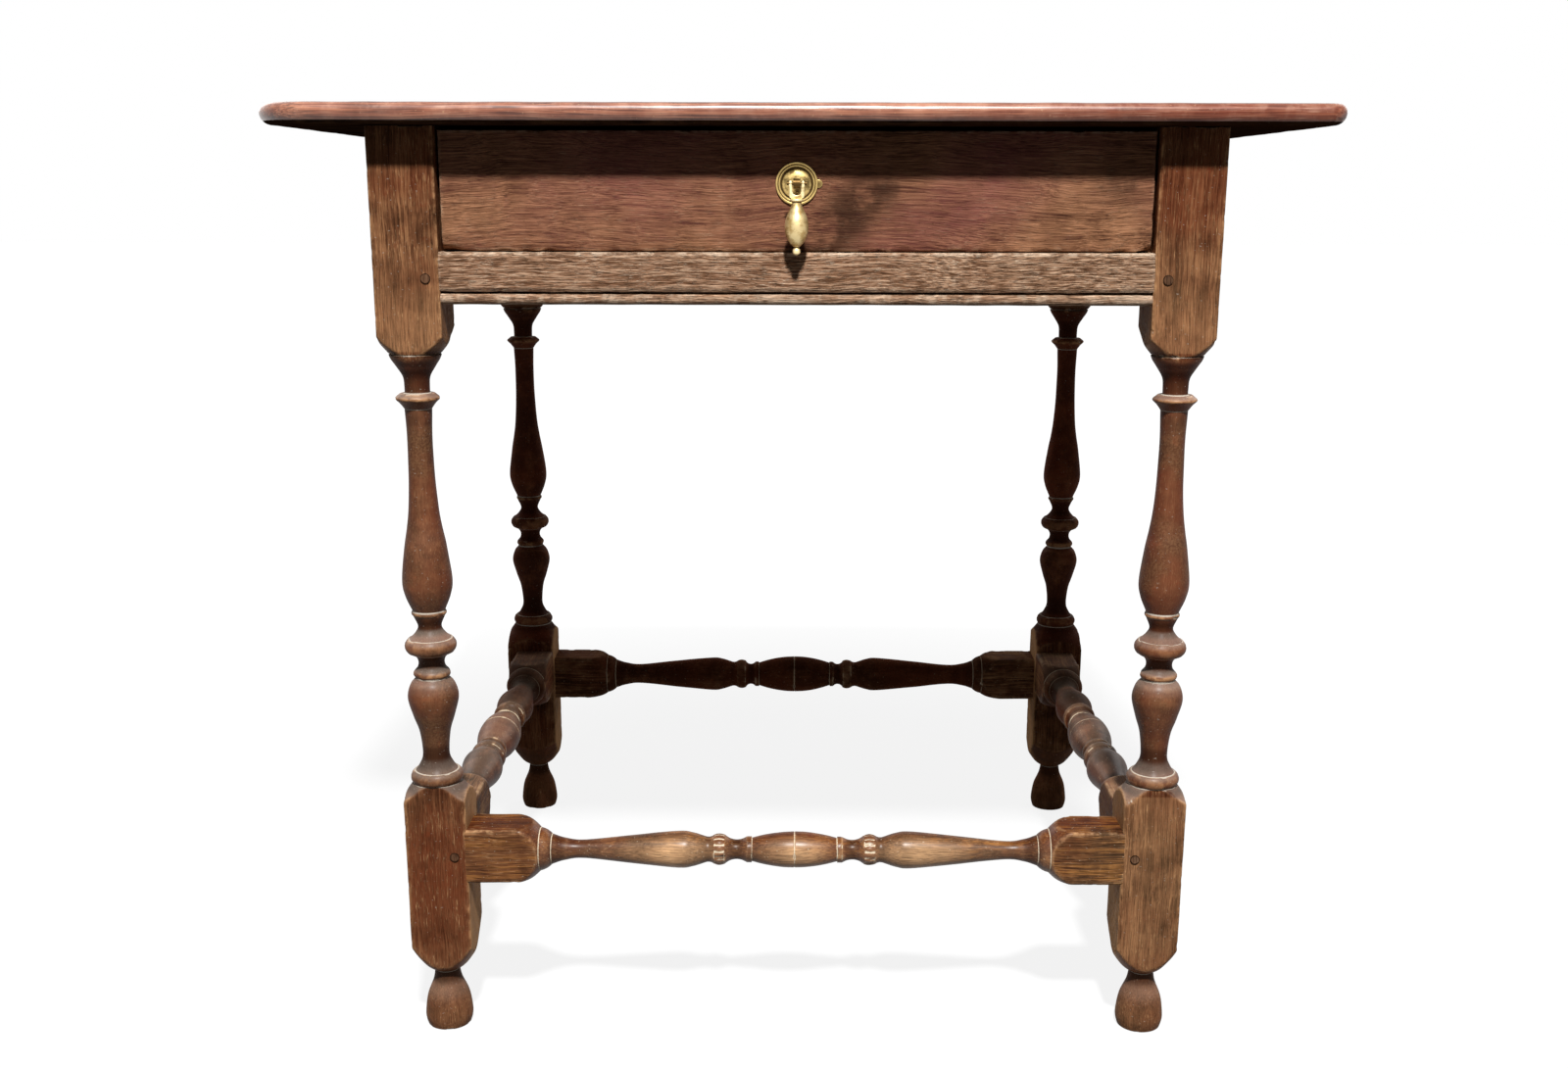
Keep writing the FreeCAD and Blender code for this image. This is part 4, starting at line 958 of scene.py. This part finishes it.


# Drop pull. A cast brass plate with a domed middle, two mouldings and an ear, a split pin whose eye stands
# out through it, and a pear drop that hangs by a stirrup. It is bright where worn and dull in the hollows,
# and the stirrup is also painted pale as a highlight of the lamp.

pull_y, pull_z = -270, 659
plate_y = -252
plate_profile = [
    # back and rim
    [(0, 0), (0, 15)],
    [(0, 15), (0.7, 15)],
    # two mouldings
    [(0.7, 15), (1.2, 14.8), (1.4, 14.1), (1.2, 13.4), (0.5, 13.1)],
    [(0.5, 13.1), (1.5, 12.9), (1.8, 12.3), (1.5, 11.7), (0.9, 11.3)],
    # dome
    [(0.9, 11.3), (1.4, 10.9)],
    [(1.4, 10.9), (2.8, 9.3), (3.9, 6.6), (4.4, 3.5), (4.55, 1)],
    [(4.55, 1), (4.6, 0)],
]
dome_radius = 10.5
ear_profile = [[(0, 0), (0, 2.8)], [(0, 2.8), (0.4, 3), (0.65, 2.4)], [(0.65, 2.4), (0.7, 0)]]
ear_x = 15.4
drop_profile = [
    # ball
    [(0, 0), (0.3, 1.4)],
    [(0.3, 1.4), (1.4, 2.5), (2.8, 2.8), (4.2, 2.5), (5.3, 1.7)],
    # pear
    [(5.3, 1.7), (6.1, 2.6)],
    [(6.1, 2.6), (8.6, 4.9), (11.6, 6.8), (15, 8), (18.8, 8.4), (22.8, 8.1), (26.8, 7), (30.6, 5.3),
     (33.8, 3.9), (36.4, 3.3)],
    # collar
    [(36.4, 3.3), (36.9, 4.2)],
    [(36.9, 4.2), (37.3, 4.7), (37.8, 4.8), (38.3, 4.6), (38.6, 4.1)],
    [(38.6, 4.1), (38.6, 0)],
]
drop_reach = 49
half_stirrup = [
    (0, -10.4), (3.4, -10.4), (4.9, -9.7), (5.4, -8.2), (5.2, -5), (5.2, -2.6), (5.6, -1.3), (5.6, 1),
    (5, 1.9), (4, 2), (3.3, 1.4), (3.1, 0), (3.1, -3), (3, -5.4), (2.4, -7), (1.2, -7.7), (0, -7.9),
]
stirrup_thickness = 2.4
stirrup_rounding = 0.6
stirrup_reach = 11


def brass(name, dull, clean_and_glint, rough, bare):
    """Old brass, dull brown in the hollows, bright where worn and where a painted highlight is laid, and
    faintly blotched.
    """
    finish, flow, spot = new_finish(name)
    blotch = flow.make("TexNoise", inputs={"Vector": spot, "Scale": 0.16, "Detail": 4.0})
    fine = flow.make("TexNoise", inputs={"Vector": spot, "Scale": 1.3, "Detail": 2.0})
    grime = flow.noted("grime")
    # Blotched wear, with the painted highlight that the stirrup carries.
    rubbed_and_lit = (blotch + 0.3 * (fine - 0.5)).step(0.35, 0.62) * flow.noted("rubbed_and_lit")
    colour = (rubbed_and_lit + 0.8 * flow.noted("wear")).at_most(1.0).lay(tone(dull), tone(clean_and_glint))
    feed(finish, {
        "Base Color": grime.step(0.1, 0.7).lay(colour, tone("3a2a14")),
        "Roughness": rough + 0.2 * (blotch - 0.5) + 0.3 * grime,
        "Normal": fine.bump(0.05 * millimetre),
        "Metallic": bare,
    })
    return finish


def weld(*meshes):
    """One mesh of several."""
    whole = bmesh.new()
    for mesh in meshes:
        part = bpy.data.meshes.new("part")
        mesh.to_mesh(part)
        mesh.free()
        whole.from_mesh(part)
        bpy.data.meshes.remove(part)
    return whole


def put(mesh, place, tip=0):
    """Tips a turning about X by degrees and moves it to its place."""
    matrix = Matrix.Translation(place) @ Matrix.Rotation(math.radians(tip), 4, "X")
    bmesh.ops.transform(mesh, matrix=matrix, verts=mesh.verts)
    bmesh.ops.recalc_face_normals(mesh, faces=mesh.faces)


plate_brass = brass("plate brass", "4e3915", "d0b372", rough=0.42, bare=0.8)
# The drop's bright tone is near white, so the stirrup laid with it carries a painted highlight.
drop_brass = brass("drop brass", "966f2a", "f8e4ae", rough=0.44, bare=0.7)

plate = turned(plate_profile, 96, 0.5)
put(plate, (0, plate_y, pull_z), tip=90)
ear = turned(ear_profile, 40, 0.3)
put(ear, (ear_x, plate_y, pull_z), tip=90)
mesh = weld(plate, ear)
note_rubbed_and_lit(mesh, lambda vert: 0.1 + 0.9 * (math.hypot(vert.co.x, vert.co.z - pull_z) < dome_radius))
weather(mesh, hollow=0.05, chip=0)
plate = piece_of(mesh, "pull_backplate_cast", plate_brass)
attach(plate, "drawer")
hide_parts("pull_backplate")

pear = turned(drop_profile, 64, 0.6)
put(pear, (0, pull_y, pull_z - drop_reach))
stirrup = bmesh.new()
outline = half_stirrup + [(-x, z) for x, z in reversed(half_stirrup[1:-1])]
stirrup_y = pull_y - stirrup_thickness / 2
flat = stirrup.faces.new([stirrup.verts.new((x, stirrup_y, pull_z + z)) for x, z in outline])
extrude(stirrup, [flat], (0, stirrup_thickness, 0))
bmesh.ops.recalc_face_normals(stirrup, faces=stirrup.faces)
sharp = [edge for edge in stirrup.edges if edge.calc_face_angle(0) > 1.2]
bmesh.ops.bevel(stirrup, geom=sharp, offset=stirrup_rounding, offset_type="OFFSET", segments=3, profile=0.5,
                affect="EDGES", material=-1, clamp_overlap=True)
mesh = weld(pear, stirrup)
# The stirrup is laid wholly pale: worn by hands, and a painted highlight of the lamp on its flat faces.
note_rubbed_and_lit(mesh, lambda vert: 0.45 + 0.55 * (vert.co.z > pull_z - stirrup_reach))
weather(mesh, hollow=0.05, chip=0)
drop = piece_of(mesh, "pull_drop_cast", drop_brass)
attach(drop, "drop")
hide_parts("pull_drop")
dress(["pull_cotter", "pull_pin"], plate_brass)
